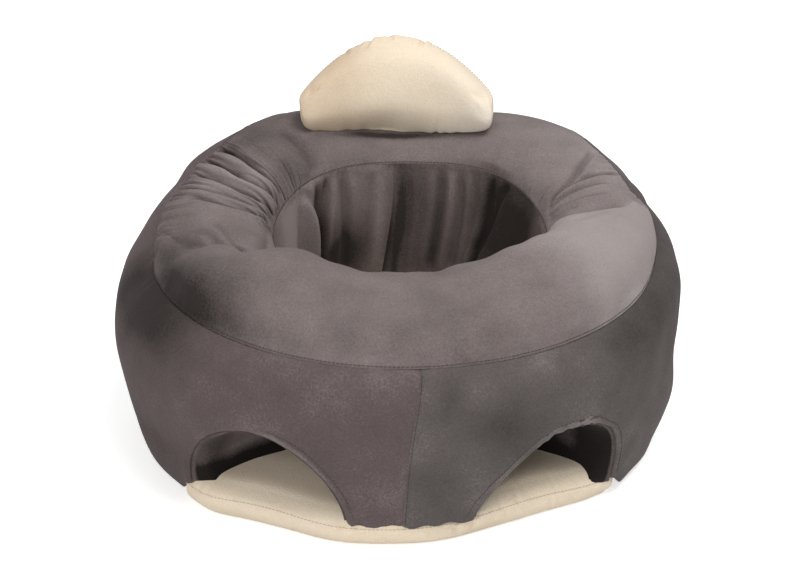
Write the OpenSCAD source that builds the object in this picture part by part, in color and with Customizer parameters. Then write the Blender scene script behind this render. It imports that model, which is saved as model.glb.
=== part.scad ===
// Baby floor seat: a stuffed plush ring with a well to sit in and two leg openings, sewn down
// to a flat base cushion, with a half-moon head pillow on the back of the ring.
// Millimetres. +Z is up, the baby faces -Y, and the origin is on the floor under the middle.

/* [Ring] */
// Radius of the ring at its widest, at the side
ring_radius = 228; // [224:1:234]
// How far the wall draws in from its widest line up to the rim seam
rim_tuck = 20; // [14:1:24]
// Height of the wall's widest line
bulge_height = 104; // [98:1:112]
// Height of the seam where the wall is sewn to the base cushion
wall_foot = 20; // [19:0.5:22]
// Height of the rim seam at the front corners
rim_height_front = 148; // [142:1:154]
// Height of the rim seam at the back
rim_height_back = 186; // [180:1:190]
// Height of the ring's crest at the front corners
crest_height_front = 195; // [190:1:200]
// How far the crest dips in front of the baby's belly
belly_dip = 19; // [12:1:24]
// Height of the ring's crest at the back corners
crest_height_back = 206; // [202:1:212]
// How far the crest is pressed down under the head pillow
pillow_dip = 5; // [2:1:8]
// Radius of the ring's crest line at the side
crest_radius = 162; // [156:1:168]
// Angle from straight ahead to the waist, the crease between the ring's front and its back
waist_turn = 76; // [72:1:82]
// How far the ring's top is drawn down at the waist
waist_dip = 7; // [0:1:10]

/* [Well] */
// Radius of the well at its top seam, at the side
well_radius = 108; // [103:1:113]
// How far the well narrows from its top seam to its floor
well_taper = 14; // [8:1:18]
// Height of the well's top seam at the side
well_height_side = 162; // [156:1:168]
// Height of the well's top seam straight behind
well_height_back = 181; // [175:1:187]
// How far the middle of the well's floor is crowned
floor_crown = 4; // [1:0.5:8]

/* [Leg openings] */
// Angle from straight ahead to the near side of each leg opening
leg_near = 10; // [9:0.5:12]
// Angle from straight ahead to the far side of each leg opening
leg_far = 45; // [41:0.5:47]
// Height of each leg opening above the base seam
leg_height = 68; // [62:1:70]
// Fullness of the opening's curve on its near side, where the pommel widens upwards
leg_near_fullness = 1.5; // [1.4:0.1:2]
// Fullness of the opening's curve on its far side
leg_far_fullness = 2.6; // [2:0.1:3]

/* [Base cushion] */
// Radius of the seam round the base cushion, at the side
base_radius = 220; // [216:0.5:222]
// Height of the base cushion
base_height = 29; // [28:0.5:31]
// Height of the seam round the base cushion
base_seam_height = 13; // [11:0.5:14]
// How far the base cushion is drawn in along each leg opening
base_flat = 6; // [0:0.5:9]

/* [Fabric] */
// Thickness of the plush covers
cover_t = 2; // [1.5:0.1:2.2]
// Thickness of the lining under the ring
lining_t = 1.5; // [1:0.1:2]
// Gap between a cover and what fills it
fill_gap = 0.5; // [0.4:0.1:0.7]
// Gap between two sewn edges
seam_gap = 0.3; // [0.2:0.1:0.5]

/* [Head pillow] */
// Width of the head pillow
pillow_w = 164; // [150:1:176]
// Height of the head pillow
pillow_h = 77; // [70:1:84]
// Thickness of the head pillow from front to back
pillow_t = 70; // [62:1:74]
// Distance of the head pillow behind the middle of the seat
pillow_y = 154; // [150:1:158]
// Height of the pillow's top at its ends
pillow_end_top = 30; // [26:1:36]
// How far the pillow's underside is lifted at its ends
pillow_end_lift = 13; // [8:1:16]
// How far the pillow's ends come forward, following the ring
pillow_bow = 32; // [24:1:36]
// Share of the pillow's thickness that rests on the ring
pillow_foot_share = 0.82; // [0.74:0.02:0.84]
// Gap between the pillow and the ring under it
pillow_gap = 0.5; // [0.4:0.1:0.8]

/* [Zip] */
// Length of the zip's toothed chain
zip_l = 238; // [200:2:244]
// Distance of the zip behind the middle of the seat
zip_y = 62; // [50:1:70]
// Width of the slit that the zip closes
slit_w = 20; // [19:0.5:22]
// Height of the turned hem that the tapes are sewn on
hem_h = 4.7; // [4.6:0.1:5.2]
// Width of the turned hem along the slit
hem_w = 3; // [2.5:0.1:4]
// Width of one zip tape
tape_w = 14; // [13:0.5:16]
// Thickness of the zip tape
tape_t = 0.7; // [0.6:0.1:0.8]
// Pitch of the teeth on one tape
tooth_pitch = 3.4; // [3.2:0.1:4]
// Height of a tooth
tooth_h = 2.6; // [2.4:0.1:2.7]
// Reach of a tooth past the edge of its tape
tooth_reach = 2.1; // [1.9:0.1:2.3]
// Width of tape that a tooth grips
tooth_grip = 2; // [1.6:0.1:2.2]
// Running gap round the teeth and in the slider
zip_gap = 0.3; // [0.2:0.05:0.35]
// Length of the slider's body
slider_l = 11; // [10:0.5:13]
// Width of the slider's body
slider_w = 10; // [9.5:0.5:11]
// Thickness of the slider's plates
slider_plate_t = 0.9; // [0.8:0.1:1]
// Length of the pull tab
pull_l = 26; // [20:1:30]
// Width of the pull tab
pull_w = 6; // [5.6:0.2:7]
// Thickness of the pull tab
pull_t = 1; // [0.9:0.1:1]

/* [Hidden] */

plush_grey = [0.44, 0.39, 0.38];
plush_cream = [0.88, 0.82, 0.71];
fibre_white = [0.94, 0.94, 0.92];
zip_cream = [0.84, 0.78, 0.68];
zip_nickel = [0.66, 0.65, 0.62];

// Stations round the ring: straight ahead, front corner, side, back corner and straight behind.
// How far each seam or line lies outside its radius there, which makes the ring a little square
seam_out = [-5, 1, 0, -1, -5];
bulge_out = [-4, 0, 0, 2, -4];
rim_out = [6, 0, -6, 0, -1];
crest_out = [-9, -14, 1, 3, -4];
well_out = [1, 4, 0, -3, -11];
// How far the rim seam, the crest and the well's seam lie above the heights that drive them
rim_lift = [-1, 0, 9, 1, 0];
crest_lift = [-belly_dip, 0, -9, 0, -pillow_dip];
well_lift = [8, -1, 0, -3, 0];
all_stations = [1, 1, 1, 1, 1];
seam_r = base_radius * all_stations + seam_out;
bulge_r = ring_radius * all_stations + bulge_out;
rim_r = (ring_radius - rim_tuck) * all_stations + rim_out;
crest_r = crest_radius * all_stations + crest_out;
well_r = well_radius * all_stations + well_out;
rim_z = [rim_height_front, rim_height_front, rim_height_front, rim_height_back, rim_height_back] + rim_lift;
crest_z = [crest_height_front, crest_height_front, crest_height_front, crest_height_back, crest_height_back]
    + crest_lift;
well_z = [well_height_side, well_height_side, well_height_side, well_height_back, well_height_back]
    + well_lift;

// Distance below the rim seam, and below the well's seam, that the top panel's curve is led in from
rim_lead = 22;
well_lead = 28;
// Distance above a leg opening's top over which the wall's rows stop following its edge
level_rise = 8;
level_z = wall_foot + leg_height + level_rise;
floor_z = base_height + seam_gap;
lining_top = floor_z + lining_t;
fill_in = cover_t + fill_gap;
// Powers of the wall's curve below and above its widest line, and of the well's taper
wall_low_power = 2.5;
wall_high_power = 3.5;
well_power = 1.2;
// Turn, in degrees, over which the waist's crease fades out to either side
waist_spread = 11;
// Turn, in degrees, that the lining of a leg opening takes beside the opening
tunnel_turn = asin((cover_t + 2 * fill_gap) / (well_radius - well_taper));
// Turn, in degrees, of half the gap in the seams at the front and back
seam_turn = asin(seam_gap / 2 / (well_radius - well_taper));

low_rows = 4;
high_rows = 3;
top_steps = 2;
well_rows = 2;
rim_row = low_rows + high_rows;
well_seam_row = rim_row + 4 * top_steps;
last_row = well_seam_row + well_rows;

// Angles of the columns on one side of the ring, from straight ahead to straight behind
leg_shares = [0, 0.035, 0.11, 0.24, 0.4, 0.58, 0.75, 0.88, 0.96, 1];
side_columns = 11;
half_turns = concat([0, leg_near - tunnel_turn],
    [for (s = leg_shares) lerp(leg_near, leg_far, s)],
    [for (k = [0:side_columns]) lerp(leg_far + tunnel_turn, 180, k / side_columns)]);
last_turn = len(half_turns) - 1;
all_turns = concat(half_turns, [for (k = [last_turn - 1:-1:1]) 360 - half_turns[k]]);
sewn_turns = [for (a = half_turns) min(max(a, seam_turn), 180 - seam_turn)];
base_columns = 32;
base_turns = [for (k = [0:base_columns - 1]) 360 * k / base_columns];

pillow_turns = [-88, -75, -58, -39, -20, 0, 20, 39, 58, 75, 88];
pillow_foot_steps = 4;
pillow_face_steps = 2;
pillow_top_power = 2;
pillow_foot_power = 0.7;
pillow_depth_power = 0.5;
pillow_lean = 3;

// The zip's own frame: X along the chain, Y across it, Z up from the floor
zip_z = hem_h + tape_t / 2;
tape_edge = (tooth_reach + zip_gap) / 2;
slider_inner = tooth_h / 2 + zip_gap;
slider_outer = slider_inner + slider_plate_t;
// How far past the chain's end the closed slider's middle rests
slider_past = 1;
slider_x = zip_l / 2 + slider_past;
stop_l = 2.2;
zip_travel = zip_l - slider_l / 2 + slider_past - zip_gap;
// Length of the slit beyond the closed end's stop, and beyond the pull of the open slider
slit_past_stop = 4;
slit_past_pull = 2;
slit_end = slider_x + slider_l / 2 + zip_gap + stop_l + slit_past_stop;
slit_start = slider_x - zip_travel - pull_l - slit_past_pull;
bar_r = pull_t / 2;
// Room between the slider's plate and the bar that the pull turns on
bar_room = 0.15;
bar_drop = slider_outer + bar_r + bar_room;
bail_t = 0.6;
bail_w = 2;
// Room above the slider in its pocket
pocket_room = 1;
zip_pocket_h = zip_z + slider_outer + pocket_room;

// ---- Curves ------------------------------------------------------------------------------

function lerp(a, b, t) = a + (b - a) * t;

function rest(v) = [for (k = [1:len(v) - 1]) v[k]];

function backwards(v) = [for (k = [len(v) - 1:-1:0]) v[k]];

function slice(v, first, last) = [for (k = [first:last]) v[k]];

// A point of the Catmull-Rom curve between b and c
function spline(a, b, c, d, t) =
    0.5 * (2 * b + (c - a) * t + (2 * a - 5 * b + 4 * c - d) * t * t + (3 * b - a - 3 * c + d) * t * t * t);

// A curve through all points of p but the first and last, with n steps between neighbours
function smooth(p, n) =
    concat([for (i = [1:len(p) - 3]) for (k = [0:n - 1]) spline(p[i - 1], p[i], p[i + 1], p[i + 2], k / n)],
        [p[len(p) - 2]]);

// The turn from straight ahead, the same on both sides
function side_turn(a) = abs(a) > 180 ? 360 - abs(a) : abs(a);

// The value at angle a of something given at the five stations
function station(v, a) =
    let (at = side_turn(a) / 45, i = min(floor(at), 3))
    spline(v[abs(i - 1)], v[i], v[i + 1], v[i + 2 > 4 ? 6 - i : i + 2], at - i);

// A point at angle a from straight ahead, where p is [radius, height]
function around(a, p) = [p[0] * sin(a), -p[0] * cos(a), p[1]];

// Moves a curve sideways by d, to its left
function inset(c, d) =
    [for (i = [0:len(c) - 1])
        let (t = c[min(i + 1, len(c) - 1)] - c[max(i - 1, 0)])
        c[i] + d * [-t[1], t[0]] / norm(t)];

// The curve with its ends moved back by the gaps that sewn edges leave
function hemmed(c, start, end) =
    let (n = len(c) - 1, a = c[1] - c[0], b = c[n - 1] - c[n])
    [for (i = [0:n]) i == 0 ? c[0] + a * start / norm(a) : i == n ? c[n] + b * end / norm(b) : c[i]];

// ---- The ring's section --------------------------------------------------------------------

// Radius of the outer wall at angle a and height z
function wall_r(a, z) =
    let (r = station(bulge_r, a), rise = z - bulge_height)
    rise < 0
        ? r - (r - station(seam_r, a)) * pow(-rise / (bulge_height - wall_foot), wall_low_power)
        : r - (r - station(rim_r, a)) * pow(rise / (station(rim_z, a) - bulge_height), wall_high_power);

// Radius of the well's wall at angle a and height z
function lining_r(a, z) =
    let (top = station(well_z, a))
    station(well_r, a) - well_taper * pow((top - z) / (top - wall_foot), well_power);

// Height of a leg opening's edge above the base seam, for the opening grown by g
function leg_rise(a, g) =
    let (turn = tunnel_turn * g / fill_in, near = leg_near - turn, far = leg_far + turn,
        mid = (near + far) / 2, u = abs(side_turn(a) - mid) / (far - mid),
        n = side_turn(a) < mid ? leg_near_fullness : leg_far_fullness)
    u >= 1 ? 0 : (leg_height + g) * pow(1 - pow(u, n), 1 / n);

// Lower edge of what stands at height foot and is lifted over the leg openings
function lower_edge(a, g, foot) = max(foot, wall_foot + leg_rise(a, g));

// From the wall's lower edge up to the rim seam
function wall_line(a, foot) =
    let (rim = station(rim_z, a),
        z = concat([for (k = [0:low_rows - 1]) lerp(foot, level_z, k / low_rows)],
            [for (k = [0:high_rows]) lerp(level_z, rim, k / high_rows)]))
    [for (h = z) [wall_r(a, h), h]];

// How far the ring's top is drawn down at angle a
function waist(a) = waist_dip * exp(-pow((side_turn(a) - waist_turn) / waist_spread, 2));

// From the rim seam over the crest to the well's seam
function top_line(a) =
    let (rim = [station(rim_r, a), station(rim_z, a)],
        crest = [station(crest_r, a), station(crest_z, a) - waist(a)],
        seam = [station(well_r, a), station(well_z, a)],
        outer = [lerp(rim[0], crest[0], 0.28), lerp(rim[1], crest[1], 0.68)],
        inner = [lerp(crest[0], seam[0], 0.66), lerp(crest[1], seam[1], 0.26)],
        before = [wall_r(a, rim[1] - rim_lead), rim[1] - rim_lead], after = seam - [3, well_lead])
    smooth([before, rim, outer, crest, inner, seam, after], top_steps);

// From the well's seam down to the well's lower edge
function well_line(a, foot) =
    let (top = station(well_z, a))
    [for (k = [0:well_rows]) let (z = lerp(top, foot, k / well_rows)) [lining_r(a, z), z]];

// The whole outside of the ring at angle a, from the wall's lower edge to the well's
function ring_line(a, wall_low, well_low) =
    concat(wall_line(a, wall_low), rest(top_line(a)), rest(well_line(a, well_low)));

// Height of the ring's top at a point seen from above
function ring_top(x, y) = lookup(norm([x, y]), backwards(top_line(atan2(x, -y))));

// ---- Solids from rows of points --------------------------------------------------------------

// Joins loops of the same number of points into one closed solid. The loops run on into the
// first again, or their ends are closed: "fan" for a convex loop, "strip" for a folded one.
// Each four-sided face is split in two, and cross splits it along the other diagonal.
module loft(loops, ends = "none", cross = false) {
    m = len(loops[0]);
    n = len(loops);
    spans = ends == "none" ? n : n - 1;
    sides = [for (i = [0:spans - 1]) for (k = [0:m - 1])
        let (a = i * m + k, b = i * m + (k + 1) % m, j = (i + 1) % n * m, c = j + (k + 1) % m, d = j + k)
        each cross ? [[a, b, d], [b, c, d]] : [[a, b, c], [a, c, d]]];
    first = ends == "fan" ? [for (k = [1:m - 2]) [0, k + 1, k]]
        : ends == "strip" ? [for (k = [0:m / 2 - 2])
            each [[k, m - 1 - k, k + 1], [m - 1 - k, m - 2 - k, k + 1]]]
        : [];
    final = [for (f = first) backwards(f) + (n - 1) * m * [1, 1, 1]];
    polyhedron(points = [for (l = loops) each l], faces = concat(sides, first, final));
}

// ---- Ring ------------------------------------------------------------------------------------

// Section of one cover panel of the ring between two rows, with its hem gaps
function panel_loop(a, first, last, start, end) =
    let (line = ring_line(a, lower_edge(a, 0, wall_foot), lower_edge(a, 0, floor_z)),
        outside = hemmed(slice(line, first, last), start, end),
        inside = hemmed(slice(inset(line, cover_t), first, last), start, end))
    [for (p = concat(outside, backwards(inside))) around(a, p)];

function to_side(turns, side) = side > 0 ? turns : -backwards(turns);

module outer_wall(side) {
    color(plush_grey)
        loft([for (a = to_side(sewn_turns, side)) panel_loop(a, 0, rim_row, 0, seam_gap / 2)], "strip");
}

module outer_wall_left() { outer_wall(-1); }

module outer_wall_right() { outer_wall(1); }

module ring_top_panel() {
    color(plush_grey)
        loft([for (a = all_turns) panel_loop(a, rim_row, well_seam_row, seam_gap / 2, seam_gap / 2)]);
}

module well_lining(side) {
    color(plush_grey)
        loft([for (a = to_side(sewn_turns, side))
            panel_loop(a, well_seam_row, last_row, seam_gap / 2, 0)], "strip");
}

module well_lining_left() { well_lining(-1); }

module well_lining_right() { well_lining(1); }

// Radii between the two skins of the ring at angle a and height z. The wall leans, so it needs more room.
function inner_span(a, z) =
    [lining_r(a, z) + cover_t + seam_gap, wall_r(a, z) - cover_t - fill_gap - seam_gap];

// The cloth that lines one leg opening, from the well to the outer wall
module leg_tunnel(side) {
    turns = [for (a = half_turns) if (a >= leg_near - tunnel_turn && a <= leg_far + tunnel_turn) a];
    color(plush_grey)
        loft([for (a = to_side(turns, side))
            let (low = lower_edge(a, 0, floor_z), high = max(low + 0.6, wall_foot + leg_rise(a, cover_t)),
                b = inner_span(a, low), t = inner_span(a, high))
            [for (p = [[b[0], low], [(b[0] + b[1]) / 2, low], [b[1], low],
                [t[1], high], [(t[0] + t[1]) / 2, high], [t[0], high]]) around(a, p)]], "strip");
}

module leg_tunnel_left() { leg_tunnel(-1); }

module leg_tunnel_right() { leg_tunnel(1); }

// The ring's stuffing in its inner bag, one piece with the pommel between the leg openings
module ring_filling() {
    color(fibre_white)
        loft([for (a = all_turns)
            let (low = lower_edge(a, fill_in, lining_top + fill_gap),
                line = inset(ring_line(a, low, low), fill_in),
                far = line[0][0], near = line[last_row][0])
            [for (p = concat([[far, low]], slice(line, 1, last_row - 1),
                [[near, low], [(near + far) / 2, low]])) around(a, p)]], cross = true);
}

function under_ring(a) =
    let (r = inner_span(a, floor_z))
    [for (p = [[r[0], floor_z], [r[1], floor_z], [r[1], lining_top], [r[0], lining_top]]) around(a, p)];

// Flat lining under the ring: a horseshoe, and a small piece under the pommel
module ring_bottom_lining() {
    reach = leg_near - tunnel_turn - 2 * seam_turn;
    side_end = leg_far + tunnel_turn;
    back = [for (a = half_turns) if (a >= side_end) max(a, side_end + 2 * seam_turn)];
    color(fibre_white) {
        loft([for (a = [-reach, 0, reach]) under_ring(a)], "fan");
        loft([for (a = concat(back, [for (a = rest(backwards(back))) 360 - a])) under_ring(a)], "fan");
    }
}

// ---- Base cushion ----------------------------------------------------------------------------

function base_edge(a) =
    let (turn = side_turn(a))
    station(seam_r, a) - (turn < leg_far ? base_flat * pow(sin(180 * turn / leg_far), 2) : 0);

// The whole outside of the cushion at angle a, from the middle of its underside to that of its top
function base_line(a) =
    let (r = base_edge(a), s = base_seam_height, h = base_height - base_seam_height,
        middle = well_radius * 0.4, floor_r = min(well_r) - well_taper - 4)
    [[middle, 0], [r - base_under[0], 0], [r - base_under[1], s * 0.22], [r - base_under[2], s * 0.58],
        [r, s],
        [r - base_over[0], s + h * 0.44], [r - base_over[1], s + h * 0.82],
        [r - base_over[2], base_height],
        [floor_r, base_height], [middle, base_height + floor_crown]];

base_seam_row = 4;
base_last_row = 9;
// How far the cushion's outside lies inside its seam, from the underside up and on up to the top
base_under = [13, 5.5, 1.5];
base_over = [3.4, 10, 21];

function base_rows(lines) =
    [for (i = [0:len(lines[0]) - 1]) [for (k = [0:len(lines) - 1]) around(base_turns[k], lines[k][i])]];

module base_top_cover() {
    outside = [for (a = base_turns)
        hemmed(slice(base_line(a), base_seam_row, base_last_row), seam_gap / 2, 0)];
    inside = [for (a = base_turns)
        hemmed(slice(inset(base_line(a), cover_t), base_seam_row, base_last_row), seam_gap / 2, 0)];
    color(plush_cream)
        loft(concat(base_rows([for (l = outside) backwards(l)]), base_rows(inside)), "fan");
}

module base_dish() {
    outside = [for (a = base_turns) hemmed(slice(base_line(a), 0, base_seam_row), 0, seam_gap / 2)];
    inside = [for (a = base_turns)
        hemmed(slice(inset(base_line(a), cover_t), 0, base_seam_row), 0, seam_gap / 2)];
    loft(concat(base_rows(inside), base_rows([for (l = outside) backwards(l)])), "fan");
}

// A box over the zip's slit, grown by g all round, between two heights
module over_slit(g, low, high) {
    translate([slit_start - g, zip_y - slit_w / 2 - g, low])
        cube([slit_end - slit_start + 2 * g, slit_w + 2 * g, high - low]);
}

// The underside, with a slit and the turned hem that the zip is sewn on
module base_bottom_cover() {
    color(plush_cream)
        difference() {
            union() {
                base_dish();
                over_slit(hem_w, cover_t / 2, hem_h);
            }
            over_slit(0, -1, hem_h + 1);
        }
}

module base_filling() {
    side = tape_edge + tape_w - slit_w / 2 + 1;
    color(fibre_white)
        difference() {
            loft(base_rows([for (a = base_turns) backwards(inset(base_line(a), fill_in))]), "fan");
            over_slit(side, 0, zip_pocket_h);
        }
}

// ---- Head pillow -----------------------------------------------------------------------------

// Section of the pillow at one station, drawn in by s on all sides: along its underside to the
// front, up its face to the top seam, and down its back
function pillow_line(turn, s) =
    let (x = (pillow_w / 2 - s) * sin(turn), e = cos(turn),
        mid = pillow_y - pillow_bow * pow(sin(turn), 2),
        d = (pillow_t / 2 - s) * pow(e, pillow_depth_power),
        low = s + (pillow_end_lift - s) * (1 - pow(e, pillow_foot_power)),
        top = pillow_end_top - s + (pillow_h - pillow_end_top) * pow(e, pillow_top_power),
        foot = d * pillow_foot_share, rise = top - low,
        base = ring_top(x, mid - foot) + pillow_gap, back = ring_top(x, mid + foot) + pillow_gap,
        face = [[mid - foot * 0.4, base + low], [mid - foot, base + low], [mid - d, base + low + 0.42 * rise],
            [mid - d * 0.62, base + low + 0.83 * rise], [mid + pillow_lean * e, base + low + rise],
            [mid + d * 0.66, base + low + 0.83 * rise], [mid + d, base + low + 0.42 * rise],
            [mid + foot, back + low], [mid + foot * 0.4, back + low]])
    [for (p = concat(
        [for (k = [0:pillow_foot_steps - 1]) let (y = mid + foot * (1 - 2 * k / pillow_foot_steps))
            [y, ring_top(x, y) + pillow_gap + low]],
        smooth(face, pillow_face_steps))) [x, p[0], p[1]]];

front_foot_row = pillow_foot_steps;
pillow_top_row = front_foot_row + 3 * pillow_face_steps;
back_foot_row = front_foot_row + 6 * pillow_face_steps;

module pillow_panel(first, last) {
    color(plush_cream)
        loft([for (t = pillow_turns)
            concat(hemmed(slice(pillow_line(t, 0), first, last), seam_gap / 2, seam_gap / 2),
                backwards(hemmed(slice(pillow_line(t, cover_t), first, last), seam_gap / 2, seam_gap / 2)))],
            "strip");
}

module pillow_front_cover() { pillow_panel(front_foot_row, pillow_top_row); }

module pillow_back_cover() { pillow_panel(pillow_top_row, back_foot_row); }

module pillow_base_cover() { pillow_panel(0, front_foot_row); }

module pillow_filling() {
    color(fibre_white)
        loft([for (t = pillow_turns) slice(pillow_line(t, fill_in), 0, back_foot_row - 1)], "fan");
}

// ---- Zip -------------------------------------------------------------------------------------

// side is -1 for the front half of the zip and 1 for the back half
module zip_half(side) {
    translate([0, zip_y, zip_z])
        mirror([0, side < 0 ? 1 : 0, 0])
            children();
}

module zip_tape(side) {
    color(zip_cream)
        zip_half(side)
            translate([slit_start - hem_w, tape_edge, -tape_t / 2])
                cube([slit_end - slit_start + 2 * hem_w, tape_w, tape_t]);
}

module zip_tape_front() { zip_tape(-1); }

module zip_tape_back() { zip_tape(1); }

// Outline across the chain of a clip on the tape's edge, whose nose reaches past the edge
module clip_outline(reach, nose_h) {
    polygon([[tape_edge + tooth_grip, tooth_h / 2], [tape_edge, tooth_h / 2], [tape_edge - reach, nose_h / 2],
        [tape_edge - reach, -nose_h / 2], [tape_edge, -tooth_h / 2], [tape_edge + tooth_grip, -tooth_h / 2],
        [tape_edge + tooth_grip, -tape_t / 2], [tape_edge, -tape_t / 2], [tape_edge, tape_t / 2],
        [tape_edge + tooth_grip, tape_t / 2]]);
}

// An outline across the chain, carried along it from x for a length l
module along(x, l) {
    translate([x, 0, 0])
        rotate([90, 0, 90])
            linear_extrude(l)
                children();
}

module zip_teeth(side) {
    tooth_l = tooth_pitch / 2 - 0.2;
    start = -zip_l / 2 + (side > 0 ? tooth_pitch / 2 : 0);
    color(zip_cream)
        zip_half(side)
            for (k = [0:floor(zip_l / tooth_pitch) - 1])
                along(start + k * tooth_pitch, tooth_l)
                    clip_outline(tooth_reach, tooth_h * 0.6);
}

module zip_teeth_front() { zip_teeth(-1); }

module zip_teeth_back() { zip_teeth(1); }

// Two stops at the closed end and one across both tapes at the other
module zip_end_stops() {
    color(zip_nickel) {
        for (side = [-1, 1])
            zip_half(side)
                along(slider_x + slider_l / 2 + zip_gap, stop_l)
                    clip_outline(tape_edge - zip_gap / 2, tooth_h);
        translate([0, zip_y, zip_z])
            along(-zip_l / 2 - zip_gap - 2 * stop_l, 2 * stop_l)
                difference() {
                    square([2 * (tape_edge + tooth_grip), tooth_h + 0.4], center = true);
                    for (side = [-1, 1])
                        translate([side * (tape_edge + tape_w / 2), 0])
                            square([tape_w, tape_t], center = true);
                }
    }
}

// Outline of a slider plate, round at its narrow tail and broad at its head
module plate_outline() {
    r = slider_w / 4;
    translate([-slider_l / 2 + r, -slider_w / 2])
        square([slider_l - 2 * r, slider_w]);
    translate([-slider_l / 2, -slider_w / 2 + r])
        square([slider_l, slider_w - 2 * r]);
    for (x = [-1, 1], y = [-1, 1])
        translate([x * (slider_l / 2 - r), y * (slider_w / 2 - r)])
            circle(r, $fn = 32);
}

module zip_slider() {
    rim = 1;
    rim_h = slider_inner - tape_t / 2 - zip_gap;
    rim_low = slider_inner - rim_h;
    bail_r = bar_r + 0.2 + bail_t;
    bail_h = 2 * bar_r + 0.3 + bail_t;
    color(zip_nickel)
        translate([slider_x, zip_y, zip_z]) {
            for (flip = [0, 1])
                mirror([0, 0, flip]) {
                    translate([0, 0, slider_inner])
                        linear_extrude(slider_plate_t)
                            plate_outline();
                    for (side = [-1, 1])
                        translate([slider_w / 4 - slider_l / 2, (side * (slider_w - rim) - rim) / 2, rim_low])
                            cube([slider_l - slider_w / 2, rim, rim_h + slider_plate_t / 2]);
                }
            translate([slider_l / 2 - 2.6, 0, -slider_inner - slider_plate_t / 2])
                linear_extrude(2 * slider_inner + slider_plate_t)
                    polygon([[0, -0.35], [1, -tape_edge + zip_gap], [2, -tape_edge + zip_gap],
                        [2, tape_edge - zip_gap], [1, tape_edge - zip_gap], [0, 0.35]]);
            translate([0, 0, -slider_outer])
                difference() {
                    translate([-bail_r, -bail_w / 2, -bail_h])
                        cube([2 * bail_r, bail_w, bail_h + slider_plate_t / 2]);
                    translate([-bail_r + bail_t, -bail_w, -bail_h + bail_t])
                        cube([2 * (bail_r - bail_t), 2 * bail_w, bail_h - bail_t]);
                }
        }
}

// The pull tab, hung on the slider's bail by a round bar across its window
module zip_pull() {
    window_w = bail_w + 2 * zip_gap;
    color(zip_nickel)
        translate([slider_x, zip_y, zip_z - bar_drop]) {
            difference() {
                translate([0, 0, -pull_t / 2])
                    linear_extrude(pull_t)
                        difference() {
                            union() {
                                translate([-pull_l + pull_w / 2, -pull_w / 2])
                                    square([pull_l - pull_w / 2, pull_w]);
                                translate([-pull_l + pull_w / 2, 0])
                                    circle(pull_w / 2, $fn = 48);
                            }
                            translate([-pull_l + pull_w / 2, 0])
                                circle(pull_w / 5, $fn = 32);
                        }
                translate([-3.4, -window_w / 2, -pull_t])
                    cube([3.5, window_w, 2 * pull_t]);
            }
            rotate([90, 0, 0])
                cylinder(h = pull_w, r = bar_r, center = true, $fn = 32);
        }
}

base_bottom_cover();
base_top_cover();
base_filling();
ring_bottom_lining();
ring_filling();
outer_wall_left();
outer_wall_right();
ring_top_panel();
well_lining_left();
well_lining_right();
leg_tunnel_left();
leg_tunnel_right();
pillow_front_cover();
pillow_back_cover();
pillow_base_cover();
pillow_filling();
zip_tape_front();
zip_tape_back();
zip_teeth_front();
zip_teeth_back();
zip_end_stops();
zip_slider();
zip_pull();
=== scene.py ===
"""Baby floor seat, dressed: plush covers on a stuffed ring, a base cushion and a head pillow.

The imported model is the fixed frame. Each cover is lofted from the sizes that the frame's solids
have, sculpted with the folds, gathers and seams of sewn plush, and given its cloth's thickness.
Lengths are metres, turns are degrees from straight ahead (-Y), positive towards +X.
"""

import logging
import math
from collections.abc import Sequence
from dataclasses import dataclass, field
from enum import Enum

import bpy
import numpy as np
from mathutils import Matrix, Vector


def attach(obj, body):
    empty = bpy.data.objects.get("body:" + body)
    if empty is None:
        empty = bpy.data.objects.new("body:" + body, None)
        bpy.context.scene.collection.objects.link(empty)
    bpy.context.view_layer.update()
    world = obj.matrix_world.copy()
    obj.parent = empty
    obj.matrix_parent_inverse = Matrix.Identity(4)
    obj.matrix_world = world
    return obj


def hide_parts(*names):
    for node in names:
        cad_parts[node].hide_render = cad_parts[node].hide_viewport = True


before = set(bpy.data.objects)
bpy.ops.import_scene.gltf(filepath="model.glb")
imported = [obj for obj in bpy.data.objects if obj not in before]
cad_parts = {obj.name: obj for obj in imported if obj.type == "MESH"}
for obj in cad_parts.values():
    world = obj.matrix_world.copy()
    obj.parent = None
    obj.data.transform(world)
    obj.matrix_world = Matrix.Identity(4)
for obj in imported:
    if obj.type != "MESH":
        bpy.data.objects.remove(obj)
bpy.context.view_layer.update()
LOG = logging.getLogger("floor_seat")

Array = np.ndarray
Colour = tuple[float, float, float]
Piece = bpy.types.Object
Material = bpy.types.Material
Node = bpy.types.Node
Socket = bpy.types.NodeSocket


class Side(Enum):
    """A side of the seat, as the sign of its X."""

    LEFT = -1
    RIGHT = 1

    @property
    def word(self) -> str:
        """The side's name in a piece's name."""
        return self.name.lower()


# ---- Finishes ----


def linear(colour: Colour) -> tuple[float, float, float, float]:
    """Turns a screen colour into the linear colour that a shader takes.

    Args:
        colour: Red, green and blue from 0 to 255, as they look on screen.

    Returns:
        Linear red, green and blue, and an alpha of 1.
    """
    parts = [c / 255 for c in colour]
    made = [c / 12.92 if c <= 0.04045 else ((c + 0.055) / 1.055) ** 2.4 for c in parts]
    return (made[0], made[1], made[2], 1.0)


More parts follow.
